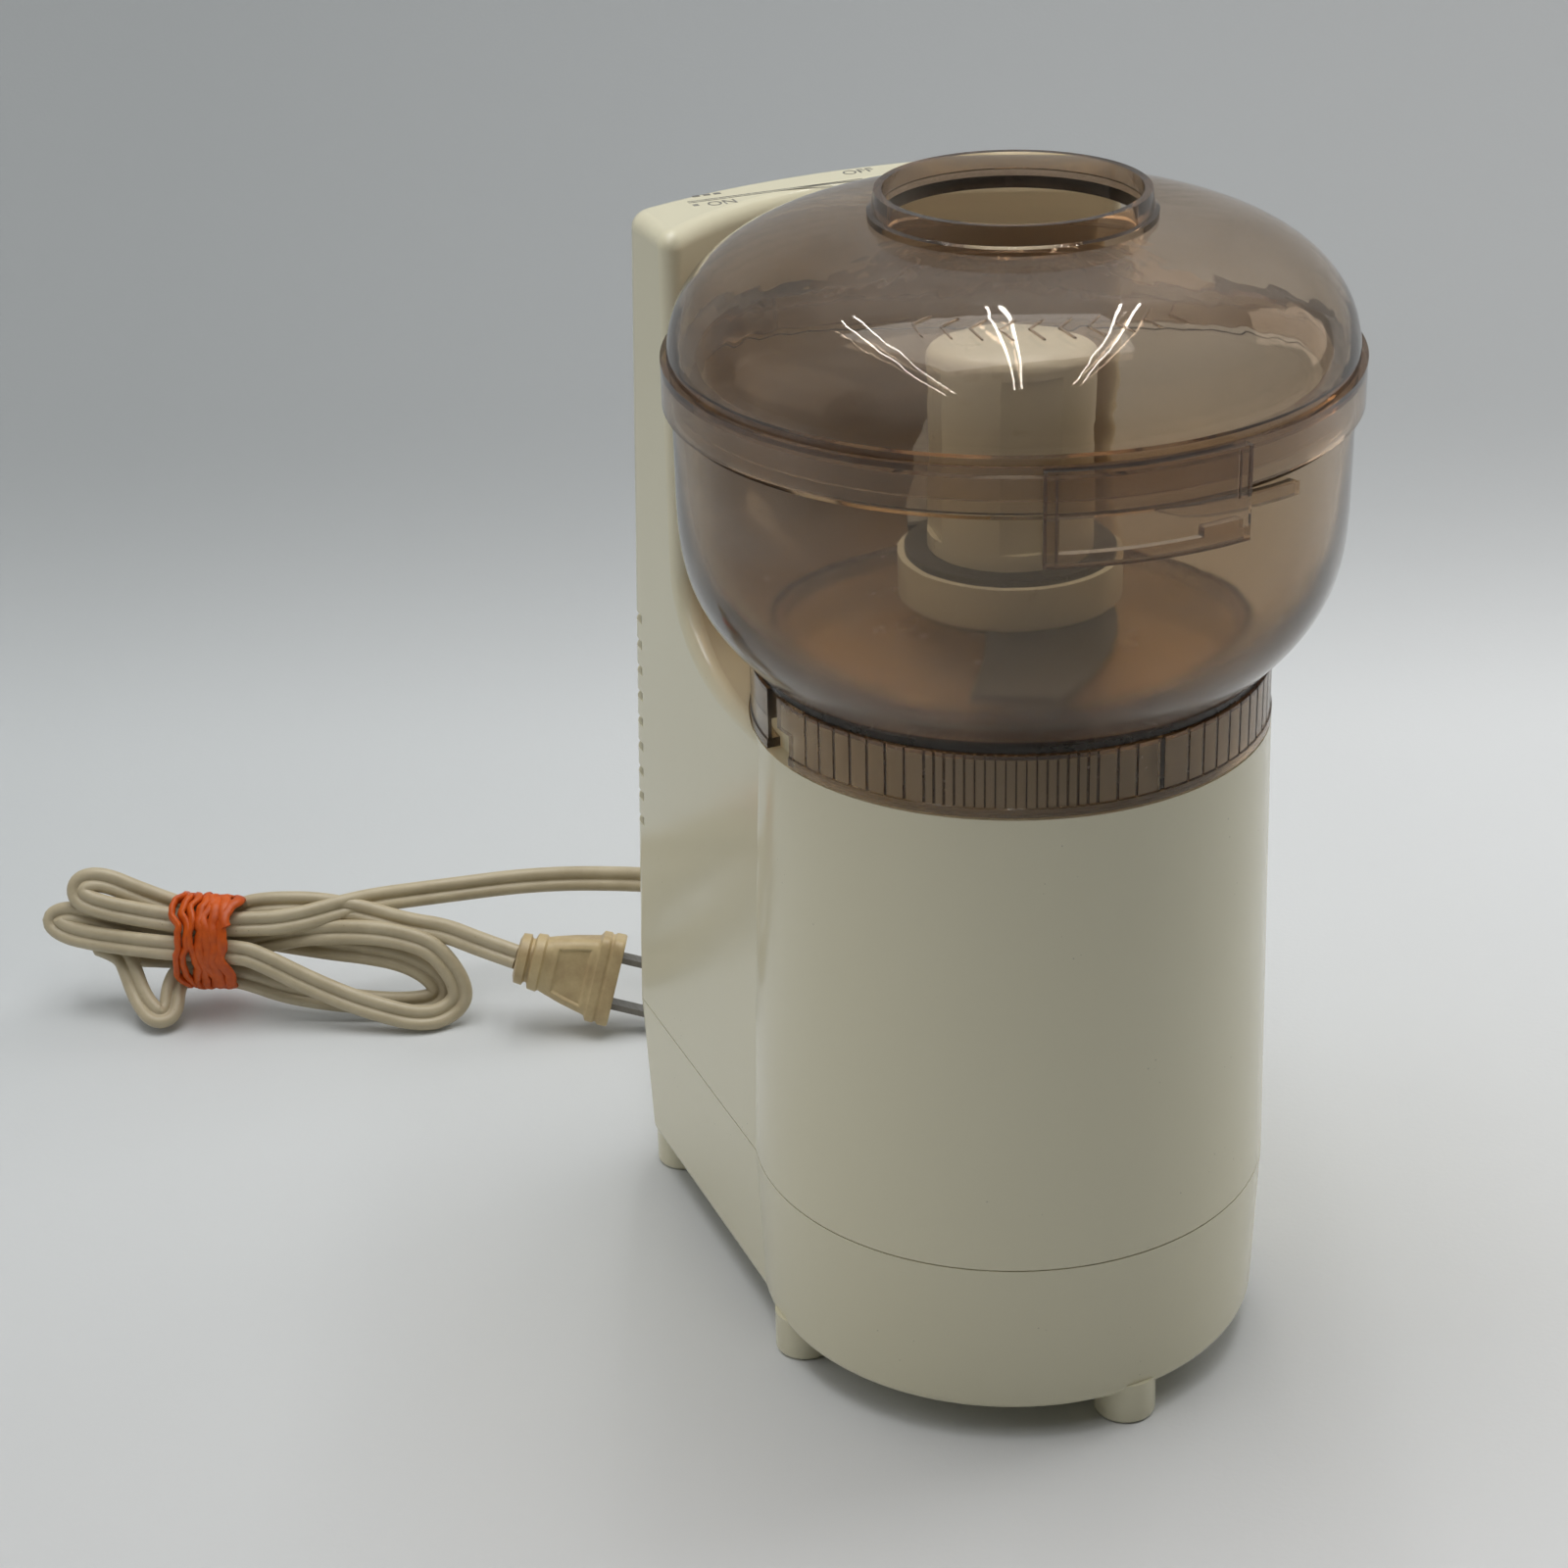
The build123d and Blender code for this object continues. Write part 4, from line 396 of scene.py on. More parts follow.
@dataclass(frozen=True)
class Layered:
    """Stacked sheets or wound wire, as fine lines across one axis."""

    name: str
    colour: Colour
    gap: Colour
    pitch: float
    metallic: float
    roughness: float = 0.35
    across: str = "Z"

    def material(self) -> bpy.types.Material:
        """Build the material."""
        graph = Graph(self.name)
        values = {"Vector": graph.place(), "Scale": math.tau / (20.0 * self.pitch), "Distortion": 0.4}
        lines = graph.add("ShaderNodeTexWave", values, bands_direction=self.across).outputs["Fac"]
        colour = graph.mix(graph.span(lines, 0.1, 0.6, 0.0, 1.0), self.gap, self.colour)
        rough = graph.uneven(self.roughness, 120.0, 4.0, 1.3)
        shader = graph.surface(Base_Color=colour, Metallic=self.metallic, Roughness=rough,
                               Normal=graph.bump(lines, self.pitch * 0.25))
        return graph.finish(shader)


@dataclass(frozen=True)
class Vinyl:
    """Soft vinyl or rubber that has yellowed, with stains that follow no edge."""

    name: str
    colour: Colour
    stain: Colour
    stained: float = 0.5
    scale: float = 60.0
    roughness: float = 0.42
    grain: float = 1.0

    def material(self) -> bpy.types.Material:
        """Build the material."""
        graph = Graph(self.name)
        blot = graph.span(graph.noise(self.scale, 6.0, 0.62), 0.42, 0.72, 0.0, self.stained)
        colour = graph.mix(blot, self.colour, self.stain)
        dust = graph.span(graph.spots(800.0, 0.2), 0.0, 1.0, 0.0, 0.35)
        colour = graph.mix(dust, colour, tuple(c * 0.4 for c in self.stain))
        rough = graph.uneven(self.roughness, 130.0, 4.0)
        soft = graph.bump(graph.noise(260.0, 3.0), 0.00006 * self.grain)
        normal = graph.bump(graph.noise(1900.0, 2.0), 0.000012 * self.grain, under=soft)
        shader = graph.surface(Base_Color=colour, Roughness=rough, Normal=normal, IOR=1.5)
        return graph.finish(shader)


@dataclass(frozen=True)
class Print:
    """Thin printed ink, a little worn."""

    name: str
    colour: Colour
    worn: Colour

    def material(self) -> bpy.types.Material:
        """Build the material."""
        graph = Graph(self.name)
        wear = graph.span(graph.noise(900.0, 4.0, 0.7), 0.5, 0.72, 0.0, 0.7)
        colour = graph.mix(wear, self.colour, self.worn)
        rough = graph.span(graph.noise(400.0, 3.0), 0.3, 0.7, 0.35, 0.55)
        return graph.finish(graph.surface(Base_Color=colour, Roughness=rough))


class Finishes:
    """Every finish, built once and shared by the pieces that need it."""

    CREAM = Plastic("cream_gloss", (0.74, 0.70, 0.52), (0.725, 0.68, 0.495), 0.15, 0.5)
    HUB = Plastic("hub_ivory", (0.50, 0.50, 0.41), (0.45, 0.445, 0.36), 0.3, 0.3)
    BOWL = ClearPlastic("smoky_bowl", (0.61, 0.455, 0.23), 300.0, 0.166, 0.205, 0.20, 0.04)
    LID = ClearPlastic("smoky_lid", (0.62, 0.45, 0.25), 300.0, 0.208, 0.230, 0.025, 0.018)
    MARK = ClearPlastic("smoky_marks", (0.55, 0.40, 0.22), 3000.0, 0.208, 0.230, 0.12, 0.10, 0.06)
    # painted shade: near-black smoke for the skirt's grooves and the bowl's waist
    SHADE_SMOKE = ClearPlastic("dense_smoke", (0.46, 0.30, 0.16), 7500.0, 0.166, 0.205, 0.25, 0.2, 0.01)
    # painted shade: dark smoke for the edges of the lid's tab
    EDGE_SHADE = ClearPlastic("smoky_edge", (0.60, 0.42, 0.25), 2800.0, 0.166, 0.205, 0.12, 0.1, 0.04)
    BLADE = Metal("blade_steel", (0.10, 0.10, 0.092), 0.45, Axis.X)
    BRIGHT = Metal("ground_steel", (0.62, 0.62, 0.61), 0.2, Axis.Z)
    PRONG = Metal("tarnished_brass", (0.30, 0.28, 0.25), 0.4, Axis.X, (0.08, 0.07, 0.06), 0.6)
    ZINC = Metal("zinc_plate", (0.56, 0.57, 0.58), 0.36)
    BRONZE = Metal("sintered_bronze", (0.55, 0.38, 0.20), 0.42)
    CORE = Layered("laminated_steel", (0.34, 0.35, 0.37), (0.10, 0.10, 0.11), 0.0006, 1.0)
    COIL = Layered("enamelled_copper", (0.55, 0.22, 0.09), (0.20, 0.07, 0.03), 0.0007, 0.7, 0.3)
    BARS = Metal("commutator_copper", (0.66, 0.33, 0.18), 0.3, Axis.Z)
    NYLON = Plastic("white_nylon", (0.76, 0.76, 0.71), (0.70, 0.69, 0.62), 0.45)
    BLACK = Plastic("black_moulding", (0.022, 0.022, 0.022), (0.03, 0.03, 0.028), 0.45)
    SEAL = Vinyl("black_seal", (0.020, 0.020, 0.021), (0.05, 0.05, 0.05), 0.4, 90.0, 0.6)
    PHENOLIC = Plastic("brown_phenolic", (0.10, 0.045, 0.022), (0.07, 0.03, 0.016), 0.5)
    CARBON = Plastic("carbon_block", (0.02, 0.02, 0.021), (0.035, 0.035, 0.036), 0.6)
    CORD = Vinyl("cord_vinyl", (0.53, 0.455, 0.31), (0.36, 0.29, 0.175), 0.5, 85.0, 0.4)
    RELIEF = Vinyl("relief_vinyl", (0.52, 0.46, 0.32), (0.34, 0.28, 0.17), 0.4, 90.0, 0.45)
    PLUG = Vinyl("plug_vinyl", (0.56, 0.44, 0.24), (0.22, 0.12, 0.05), 0.6, 75.0, 0.4)
    TIE = Vinyl("tie_rubber", (0.64, 0.105, 0.006), (0.38, 0.045, 0.004), 0.7, 190.0, 0.45, 2.5)
    INK = Print("grey_ink", (0.16, 0.155, 0.14), (0.55, 0.53, 0.44))

    def __init__(self) -> None:
        """Start with no material built."""
        self.built: dict[str, bpy.types.Material] = {}

    def get(self, finish: object) -> bpy.types.Material:
        """Return a finish's material, built on first use."""
        if finish.name not in self.built:
            self.built[finish.name] = finish.material()
        return self.built[finish.name]


# ---------------------------------------------------------------- workshop
@dataclass
class Workshop:
    """Places finished meshes on the model and dresses the frame's own nodes."""

    frame: dict
    finishes: Finishes = field(default_factory=Finishes)

    def dress(self, finish: object, *nodes: str) -> None:
        """Give CAD nodes a finish.

        Args:
            finish: What they are made of.
            nodes: Their names.
        """
        for node in nodes:
            body = self.frame["nodes"][node]
            material = self.finishes.get(finish)
            if not body.material_slots:
                body.data.materials.append(material)
            for slot in body.material_slots:
                slot.material = material
            LOG.info("dressed %s in %s", node, finish.name)

    def place(self, name: str, mesh: bpy.types.Mesh, body: str, finish: object,
              slot: str) -> bpy.types.Object:
        """Put a finished mesh on a body.

        Args:
            name: The piece's name.
            mesh: Its mesh, already where it belongs.
            body: The CAD body that it moves with.
            finish: What it is made of.
            slot: The record's material slot; not used.

        Returns:
            The new object.
        """
        mesh.name = name
        mesh.materials.clear()
        mesh.materials.append(self.finishes.get(finish))
        piece = linked(name, mesh)
        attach(piece, body)
        LOG.info("placed %s on %s: %d faces", name, body, len(mesh.polygons))
        return piece


def linked(name: str, data: bpy.types.ID) -> bpy.types.Object:
    """Return a new object in the scene, at the origin."""
    thing = bpy.data.objects.new(name, data)
    bpy.context.scene.collection.objects.link(thing)
    return thing


def evaluated(carrier: bpy.types.Object) -> bpy.types.Mesh:
    """Return a carrier object's final mesh, and remove the carrier."""
    graph = bpy.context.evaluated_depsgraph_get()
    made = bpy.data.meshes.new_from_object(carrier.evaluated_get(graph))
    bpy.data.objects.remove(carrier)
    return made


def axis_of(node: str) -> Vector:
    """Return the middle of a round node in plan."""
    low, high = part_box(node)
    return Vector(((low.x + high.x) / 2, (low.y + high.y) / 2, 0.0))


def round_sizes(count: int, start: float, pitch: float, radius: float,
                height: float) -> dict[str, float]:
    """Return the sizes of a row of copies round the spindle.

    Args:
        count: How many there are.
        start: The first one's turn from the front, in degrees.
        pitch: Degrees from one to the next.
        radius: Their distance from the axis.
        height: Their height above the floor.

    Returns:
        The sizes by name, with angles in radians.
    """
    axis = axis_of("spindle")
    return {"Count": count, "Start": math.radians(start), "Pitch": math.radians(pitch),
            "Radius": radius, "Axis X": axis.x, "Axis Y": axis.y, "Height": height}


def turned(profile: Sequence[tuple[float, float]], base: float, start: float, stop: float,
           steps: int) -> list[list[Vector]]:
    """Turn a closed outline about the spindle's axis.

    Args:
        profile: Its corners as radius and height, in millimetres.
        base: The level that the heights start from, in metres.
        start: The first turn from the front, in degrees.
        stop: The last turn.
        steps: How many steps lie between them.

    Returns:
        One ring of points for each step.
    """
    axis = axis_of("spindle")
    rings = []
    for k in range(steps + 1):
        turn = math.radians(start + (stop - start) * k / steps)
        out = Vector((math.sin(turn), -math.cos(turn), 0.0))
        rings.append([axis + out * (radius * MM) + Vector((0, 0, base + z * MM))
                      for radius, z in profile])
    return rings


def joined(name: str, parts: Sequence[bpy.types.Mesh]) -> bpy.types.Mesh:
    """Return several meshes as one."""
    work = bmesh.new()
    for part in parts:
        work.from_mesh(part)
    mesh = bpy.data.meshes.new(name)
    work.to_mesh(mesh)
    work.free()
    return mesh


def smooth(mesh: bpy.types.Mesh, angle: float = 35.0) -> bpy.types.Mesh:
    """Shade a mesh smooth up to an angle in degrees, with its faces outwards."""
    work = bmesh.new()
    work.from_mesh(mesh)
    bmesh.ops.recalc_face_normals(work, faces=work.faces)
    work.to_mesh(mesh)
    work.free()
    mesh.shade_smooth()
    mesh.set_sharp_from_angle(angle=math.radians(angle))
    return mesh


def skin(name: str, rings: Sequence[Sequence[Vector]], closed_ends: bool = True) -> bpy.types.Mesh:
    """Join rings of points into a tube.

    Args:
        name: The mesh's name.
        rings: Rings of equal length, in order.
        closed_ends: Whether to cap both ends.

    Returns:
        The mesh.
    """
    count = len(rings[0])
    points = [tuple(p) for ring in rings for p in ring]
    faces: list[tuple[int, ...]] = []
    for row in range(len(rings) - 1):
        for k in range(count):
            a = row * count + k
            b = row * count + (k + 1) % count
            faces.append((a, b, b + count, a + count))
    if closed_ends:
        faces.append(tuple(reversed(range(count))))
        last = (len(rings) - 1) * count
        faces.append(tuple(range(last, last + count)))
    mesh = bpy.data.meshes.new(name)
    mesh.from_pydata(points, [], faces)
    return smooth(mesh)


# ---------------------------------------------------------------- studio
@dataclass
class Studio:
    """Camera, curved pale backdrop and lamps."""

    eye: Point = (-0.27042, -0.57729, 0.43377)
    right: Point = (0.92697, -0.37441, -0.02387)
    up: Point = (0.18395, 0.39814, 0.89869)
    lens: float = 75.08
    sensor: float = 36.0
    bend_start: float = 0.30
    facing: float = -22.0
    bend_radius: float = 0.5
    half_width: float = 3.0
    paper_tones: tuple[Colour, Colour] = ((0.56, 0.585, 0.59), (0.58, 0.605, 0.61))
    # painted light pales the paper in front, against the object's shadow, and on the right; painted
    # shade darkens it up the wall
    paper_front_painted_light: Colour = (0.72, 0.725, 0.72)
    paper_right_painted_light: Colour = (0.78, 0.79, 0.79)
    paper_wall_painted_shade: Colour = (0.20, 0.212, 0.216)
    front_light_span: tuple[float, float] = (-0.25, 0.15)
    right_light_span: tuple[float, float] = (-0.28, 0.32)
    wall_shade_span: tuple[float, float] = (0.27, 0.50)
    wall_shade_share: float = 0.6
    sky: float = 0.012
    ceiling: float = 1.42
    strip_turn: float = 67.5
    strip_size: tuple[float, float] = (1.7, 0.011)
    strip_power: float = 1.6
    # x, y and the gap between the two lamps of a pair
    strips: tuple[Point, ...] = ((-0.58, 0.0, 0.10), (-0.02, -0.06, 0.05), (0.39, -0.05, 0.06))
    # name, place, aim, size, power and whether it mirrors in glossy surfaces
    soft_lamps: tuple[tuple, ...] = (
        ("overhead", (0.0, 0.20, 1.8), (0.0, 0.05, 0.0), (1.3, 1.1), 12.2, True),
        ("right_wall", (1.2, 0.35, 0.6), (0.0, 0.0, 0.15), (1.0, 1.1), 10.6, False),
        ("left_wall", (-1.2, 0.35, 0.6), (0.0, 0.0, 0.15), (1.0, 1.1), 3.4, False))

    def camera(self) -> None:
        """Create the scene's camera."""
        data = bpy.data.cameras.new("camera")
        data.lens = self.lens
        data.sensor_width = self.sensor
        data.clip_start = 0.01
        data.clip_end = 20.0
        camera = linked("camera", data)
        back = Vector(self.right).cross(Vector(self.up)).normalized()
        turn = Matrix((self.right, self.up, back)).transposed().to_4x4()
        camera.matrix_world = Matrix.Translation(self.eye) @ turn
        bpy.context.scene.camera = camera

    def paper(self) -> bpy.types.Material:
        """Return the backdrop's finish: paled by painted light in front and on the right, darkened by
        painted shade up the wall.

        A camera behind the wall sees through it.
        """
        graph = Graph("pale_paper")
        where = graph.add("ShaderNodeSeparateXYZ", {0: graph.place()})
        across, behind = where.outputs[0], where.outputs[1]
        colour = graph.mix(graph.noise(3.0, 2.0), *self.paper_tones)
        # painted light: paler paper in front
        front = graph.span(behind, *self.front_light_span, 1.0, 0.0)
        colour = graph.mix(front, colour, self.paper_front_painted_light)
        # painted light: paler paper on the right
        aside = graph.span(across, *self.right_light_span, 0.0, 1.0)
        colour = graph.mix(aside, colour, self.paper_right_painted_light)
        # painted shade: darker paper up the wall
        low, high = self.wall_shade_span
        rise = {0: behind, 1: low, 2: high, 3: 0.0, 4: self.wall_shade_share}
        painted_wall_shade = graph.add("ShaderNodeMapRange", rise, interpolation_type="SMOOTHSTEP").outputs[0]
        colour = graph.mix(painted_wall_shade, colour, self.paper_wall_painted_shade)
        normal = graph.bump(graph.noise(700.0, 3.0), 0.00004)
        front_face = graph.surface(Base_Color=colour, Roughness=0.7, Normal=normal)
        back = graph.add("ShaderNodeNewGeometry").outputs["Backfacing"]
        seen = graph.add("ShaderNodeLightPath").outputs["Is Camera Ray"]
        hidden = graph.add("ShaderNodeMath", {0: back, 1: seen}, operation="MULTIPLY").outputs[0]
        gone = graph.add("ShaderNodeBsdfTransparent").outputs[0]
        both = graph.add("ShaderNodeMixShader", {0: hidden, 1: front_face, 2: gone}).outputs[0]
        return graph.finish(both)

    def backdrop(self) -> None:
        """Lay a floor that curves up into a wall behind the object."""
        steps = 24
        profile = [(-3.0, 0.0), (self.bend_start, 0.0)]
        for k in range(1, steps + 1):
            turn = math.radians(90.0 * k / steps)
            profile.append((self.bend_start + self.bend_radius * math.sin(turn),
                            self.bend_radius * (1 - math.cos(turn))))
        profile.append((profile[-1][0], 3.0))
        rows = [[Vector((x, y, z)) for y, z in profile] for x in (-self.half_width, self.half_width)]
        points = [tuple(p) for row in rows for p in row]
        count = len(profile)
        faces = [(k, k + count, k + count + 1, k + 1) for k in range(count - 1)]
        mesh = bpy.data.meshes.new("backdrop")
        mesh.from_pydata(points, [], faces)
        mesh.shade_smooth()
        mesh.materials.append(self.paper())
        floor = linked("backdrop", mesh)
        floor.rotation_euler = (0.0, 0.0, math.radians(self.facing))

    def lamp(self, name: str, size: tuple[float, float], power: float, place: Matrix,
             glossy: bool = True) -> None:
        """Hang one soft rectangular lamp.

        Args:
            name: The lamp's name.
            size: Its width and depth.
            power: Its power in watts.
            place: Where it hangs, shining along its own -Z.
            glossy: Whether it mirrors in glossy surfaces.
        """
        data = bpy.data.lights.new(name, "AREA")
        data.shape = "RECTANGLE"
        data.size, data.size_y = size
        data.energy = power
        lamp = linked(name, data)
        lamp.matrix_world = place
        lamp.visible_glossy = glossy

    def light(self) -> None:
        """Set the world and hang the lamps."""
        world = bpy.data.worlds.new("studio")
        world.use_nodes = True
        shade = world.node_tree.nodes["Background"]
        shade.inputs[0].default_value = (0.96, 0.98, 1.0, 1.0)
        shade.inputs[1].default_value = self.sky
        bpy.context.scene.world = world
        for name, place, aim, size, power, glossy in self.soft_lamps:
            facing = (Vector(aim) - Vector(place)).to_track_quat("-Z", "Y").to_matrix().to_4x4()
            self.lamp(name, size, power, Matrix.Translation(place) @ facing, glossy)
        turn = Matrix.Rotation(math.radians(self.strip_turn), 4, "Z")
        for k, (x, y, gap) in enumerate(self.strips):
            for side in (-1, 1):
                middle = Matrix.Translation((x + side * gap / 2, y, self.ceiling))
                self.lamp(f"strip_{k}_{side}", self.strip_size, self.strip_power, middle @ turn)

    def build(self) -> None:
        """Build camera, backdrop and lamps."""
        self.camera()
        self.backdrop()
        self.light()
        bpy.context.scene.view_settings.view_transform = "Standard"


# ---------------------------------------------------------------- cord
@dataclass
class MainsCord:
    """Flat two-core cord, folded into a tied hank, with its tie and moulded plug."""

    shop: Workshop
    width: float = 6.6 * MM
    thickness: float = 3.4 * MM
    lobe: float = 1.62 * MM
    lobe_turn: float = 150.0
    lobe_points: int = 13
    closest: float = 0.0004
    facing_rise: float = 0.35
    facing_pull: float = 0.10
    exit: Point = (0.0, 0.10868, 0.033)
    hank_offset: Point = (-0.125, 0.074, -0.033)
    hank_turn: float = -30.0
    plug_turn: float = -26.0
    plug_pitch: float = 14.3
    plug_lean: float = 15.0
    tie_middle: float = -12.0 * MM
    tie_height: float = 20.5 * MM
    plug_step: float = 0.3
    plug_rings: int = 91
    plug_sides: int = 96
    panel_from: float = 10.4
    panel_to: float = 19.0
    panel_border: float = 2.2
    panel_edge: float = 0.5
    panel_sink: float = 0.15
    lead: tuple[Point, ...] = (
        (0, 0, 0), (-2, 17, 0.5), (-11, 33, -0.5), (-26, 47, -2), (-49, 62, -4), (-76, 70, -6))
    folds: tuple[Point, ...] = (
        (27, 8, 30), (10, 0, 27.2), (-3.5, -2, 27), (-12, -2, 26.5), (-20.5, -1.5, 27),
        (-32, -1.5, 28.5), (-42, -1.2, 30.2), (-47.5, 0, 32), (-47, 2, 35.6), (-41, 3.2, 36),
        (-32, 3.5, 32), (-20.5, 4, 27.5), (-12, 6.3, 23.5), (-3.5, 5.5, 19.8),
        (18, 4.5, 17.6), (29.5, 4, 17.1), (39.5, 3.5, 15.6), (46.5, 3, 11.8), (49, 2.5, 7.8),
        (47.3, 1.5, 4.8), (41.3, 0, 4.3), (33.5, -1, 4.4), (10, -2, 6.5), (-3.5, -2, 11.4),
        (-12, -2, 12), (-20.5, -1.5, 12), (-21.9, -6, 8.8), (-21.2, -11, 4.4), (-24.5, -14, 4.2),
        (-30.1, -9, 7.3), (-34, -4, 13.3), (-36.9, 0, 15.5), (-45.7, 2, 17.6), (-42.8, 3, 14.4),
        (-37.4, 3.5, 13), (-29.5, 3.5, 13.3), (-20.5, 3, 13.6), (-12, 1.6, 16), (-3.5, 0.2, 19.5),
        (12, 2, 23), (29.5, 3, 24), (42, 2.5, 22.5), (49.5, 1.5, 19.6), (55.8, 0, 9.3),
        (52.7, -1.5, 3.9), (46, -7, 3.4), (30, -7, 7.3), (16, -6, 12.4), (1, -5.6, 20),
        (-3.5, -5.6, 20.5), (-12, -5.6, 21), (-20.5, -5.6, 20.8), (-34, -4.6, 21.2),
        (-45, -3.6, 21.8), (-52, -2, 22.6), (-55.5, -0.6, 25), (-51, 0.2, 27), (-43, 0.4, 25.6),
        (-33, 0.4, 22.4), (-20.5, 0.3, 19.4), (-12, 1.8, 23.6), (-3.5, 3.4, 29), (4, 4, 30.4),
        (16, 5.6, 30.2), (28, 7, 27.6))
    tail: tuple[Point, ...] = (
        (-87.1, 58.6, -8), (-78.7, 53.3, -8.8), (-71.9, 45, -10.4), (-63.9, 38.4, -12.8))
    # distance from the cord, half width, half thickness and squareness
    plug_knots: tuple[tuple[float, float, float, float], ...] = (
        (0.0, 5.0, 4.2, 2.2), (0.6, 6.6, 6.0, 2.2), (2.7, 6.8, 6.2, 2.2), (3.1, 5.8, 5.0, 2.2),
        (3.9, 5.9, 5.0, 2.2), (4.3, 7.4, 6.2, 2.3), (6.6, 7.6, 6.2, 2.4), (7.2, 7.1, 5.2, 2.6),
        (9.0, 7.7, 4.8, 3.0), (14.0, 9.0, 5.0, 4.5), (20.0, 10.3, 5.4, 5.5),
        (20.5, 10.5, 5.45, 6.0), (20.9, 11.6, 5.9, 6.0), (23.0, 11.7, 5.95, 6.0),
        (23.3, 11.3, 5.6, 6.0), (23.9, 11.3, 5.6, 6.0), (24.2, 11.8, 5.95, 6.0),
        (26.5, 11.9, 6.0, 6.0), (27.0, 11.5, 5.7, 6.0))

    def along(self) -> Vector:
        """Direction of the hank's own line."""
        turn = math.radians(self.hank_turn)
        return Vector((math.cos(turn), math.sin(turn), 0.0))

    def hank_place(self) -> Matrix:
        """Frame of the hank: x along it, y across it, z up from the floor."""
        ahead = self.along()
        aside = Vector((-ahead.y, ahead.x, 0.0))
        turn = Matrix((ahead, aside, Vector((0, 0, 1)))).transposed().to_4x4()
        return Matrix.Translation(Vector(self.exit) + Vector(self.hank_offset)) @ turn

    def route(self) -> list[Vector]:
        """Return the cord's control points from its exit to its plug."""
        start = Vector(self.exit)
        place = self.hank_place()
        points = [start + Vector(step) * MM for step in self.lead]
        points += [place @ (Vector(step) * MM) for step in self.folds]
        points += [start + Vector(step) * MM for step in self.tail]
        return points

    def centreline(self) -> list[Vector]:
        """Return the smooth line through the route, read from a NURBS curve without a bevel."""
        data = bpy.data.curves.new("cord_line", "CURVE")
        data.dimensions = "3D"
        data.resolution_u = 14
        line = data.splines.new("NURBS")
        points = self.route()
        line.points.add(len(points) - 1)
        for slot, point in zip(line.points, points):
            slot.co = (*point, 1.0)
        line.order_u = 3
        line.use_endpoint_u = True
        mesh = evaluated(linked("cord_line", data))
        found = [v.co.copy() for v in mesh.vertices]
        bpy.data.curves.remove(data)
        bpy.data.meshes.remove(mesh)
        kept = [found[0]]
        for point in found[1:]:
            if (point - kept[-1]).length > self.closest:
                kept.append(point)
        return kept

    def section(self) -> list[tuple[float, float]]:
        """Return the two-lobed outline: (along the wide axis, along the thin axis)."""
        radius = self.thickness / 2
        half = []
        for k in range(self.lobe_points):
            turn = math.radians(-self.lobe_turn + 2 * self.lobe_turn * k / (self.lobe_points - 1))
            half.append((self.lobe + radius * math.cos(turn), radius * math.sin(turn)))
        return half + [(-x, -y) for x, y in half]

    def frames(self, line: Sequence[Vector]) -> list[tuple[Vector, Vector]]:
        """Return the wide and thin axes at each point of the line.

        Args:
            line: The cord's centreline.

        Returns:
            A pair of unit vectors for each point.
        """
        along = self.along()
        facing = Vector((along.y, -along.x, self.facing_rise))
        facing.normalize()
        thin = facing.copy()
        pairs = []
        for k, point in enumerate(line):
            ahead = line[min(k + 1, len(line) - 1)] - line[max(k - 1, 0)]
            ahead.normalize()
            flat = facing - ahead * facing.dot(ahead)
            pull = self.facing_pull * flat.length
            thin = thin - ahead * thin.dot(ahead)
            thin.normalize()
            if flat.length > 1e-6:
                flat.normalize()
                thin = (thin * (1 - pull) + flat * pull).normalized()
            pairs.append((ahead.cross(thin).normalized(), thin.copy()))
        return pairs

    def tube(self) -> tuple[bpy.types.Mesh, list[Vector]]:
        """Return the cord's mesh and the line that it follows."""
        line = self.centreline()
        outline = self.section()
        rings = []
        for point, (wide, thin) in zip(line, self.frames(line)):
            rings.append([point + wide * x + thin * y for x, y in outline])
        return skin("cord_flex", rings), line

    def tie(self) -> bpy.types.Mesh:
        """Return a rubber band wound round the hank."""
        sizes = {"Steps": 520, "Turns": 7.4, "Width": 15.5 * MM, "Half Width": 9.0 * MM,
                 "Half Height": 12.3 * MM, "Strand": 1.15 * MM, "Wrinkle": 1.5 * MM,
                 "Wrinkles": 90.0, "Drift": 5.5 * MM, "Drifts": 60.0}
        shape = Shape("tie_winding", sizes, self.shop.finishes.get(Finishes.TIE))
        line = shape.add("GeometryNodeMeshLine", {"Count": shape.size("Steps")})
        index = shape.add("GeometryNodeInputIndex").outputs[0]
        share = shape.maths("DIVIDE", index, shape.size("Steps"))
        turn = shape.maths("MULTIPLY", shape.maths("MULTIPLY", share, shape.size("Turns")), math.tau)
        along = shape.maths("MULTIPLY", shape.maths("SUBTRACT", share, 0.5), shape.size("Width"))
        here = shape.maths("MULTIPLY", share, shape.size("Wrinkles"))
        wave = shape.add("ShaderNodeTexNoise", {"W": here, "Scale": 1.0, "Detail": 2.0},
                         noise_dimensions="1D").outputs[0]
        lift = shape.maths("MULTIPLY", shape.maths("SUBTRACT", wave, 0.5), shape.size("Wrinkle"))
        elsewhere = shape.maths("MULTIPLY_ADD", share, shape.size("Drifts"), 31.0)
        other = shape.add("ShaderNodeTexNoise", {"W": elsewhere, "Scale": 1.0},
                          noise_dimensions="1D").outputs[0]
        drift = shape.maths("MULTIPLY", shape.maths("SUBTRACT", other, 0.5), shape.size("Drift"))
        across = shape.maths("MULTIPLY", shape.maths("COSINE", turn),
                             shape.maths("ADD", shape.size("Half Width"), lift))
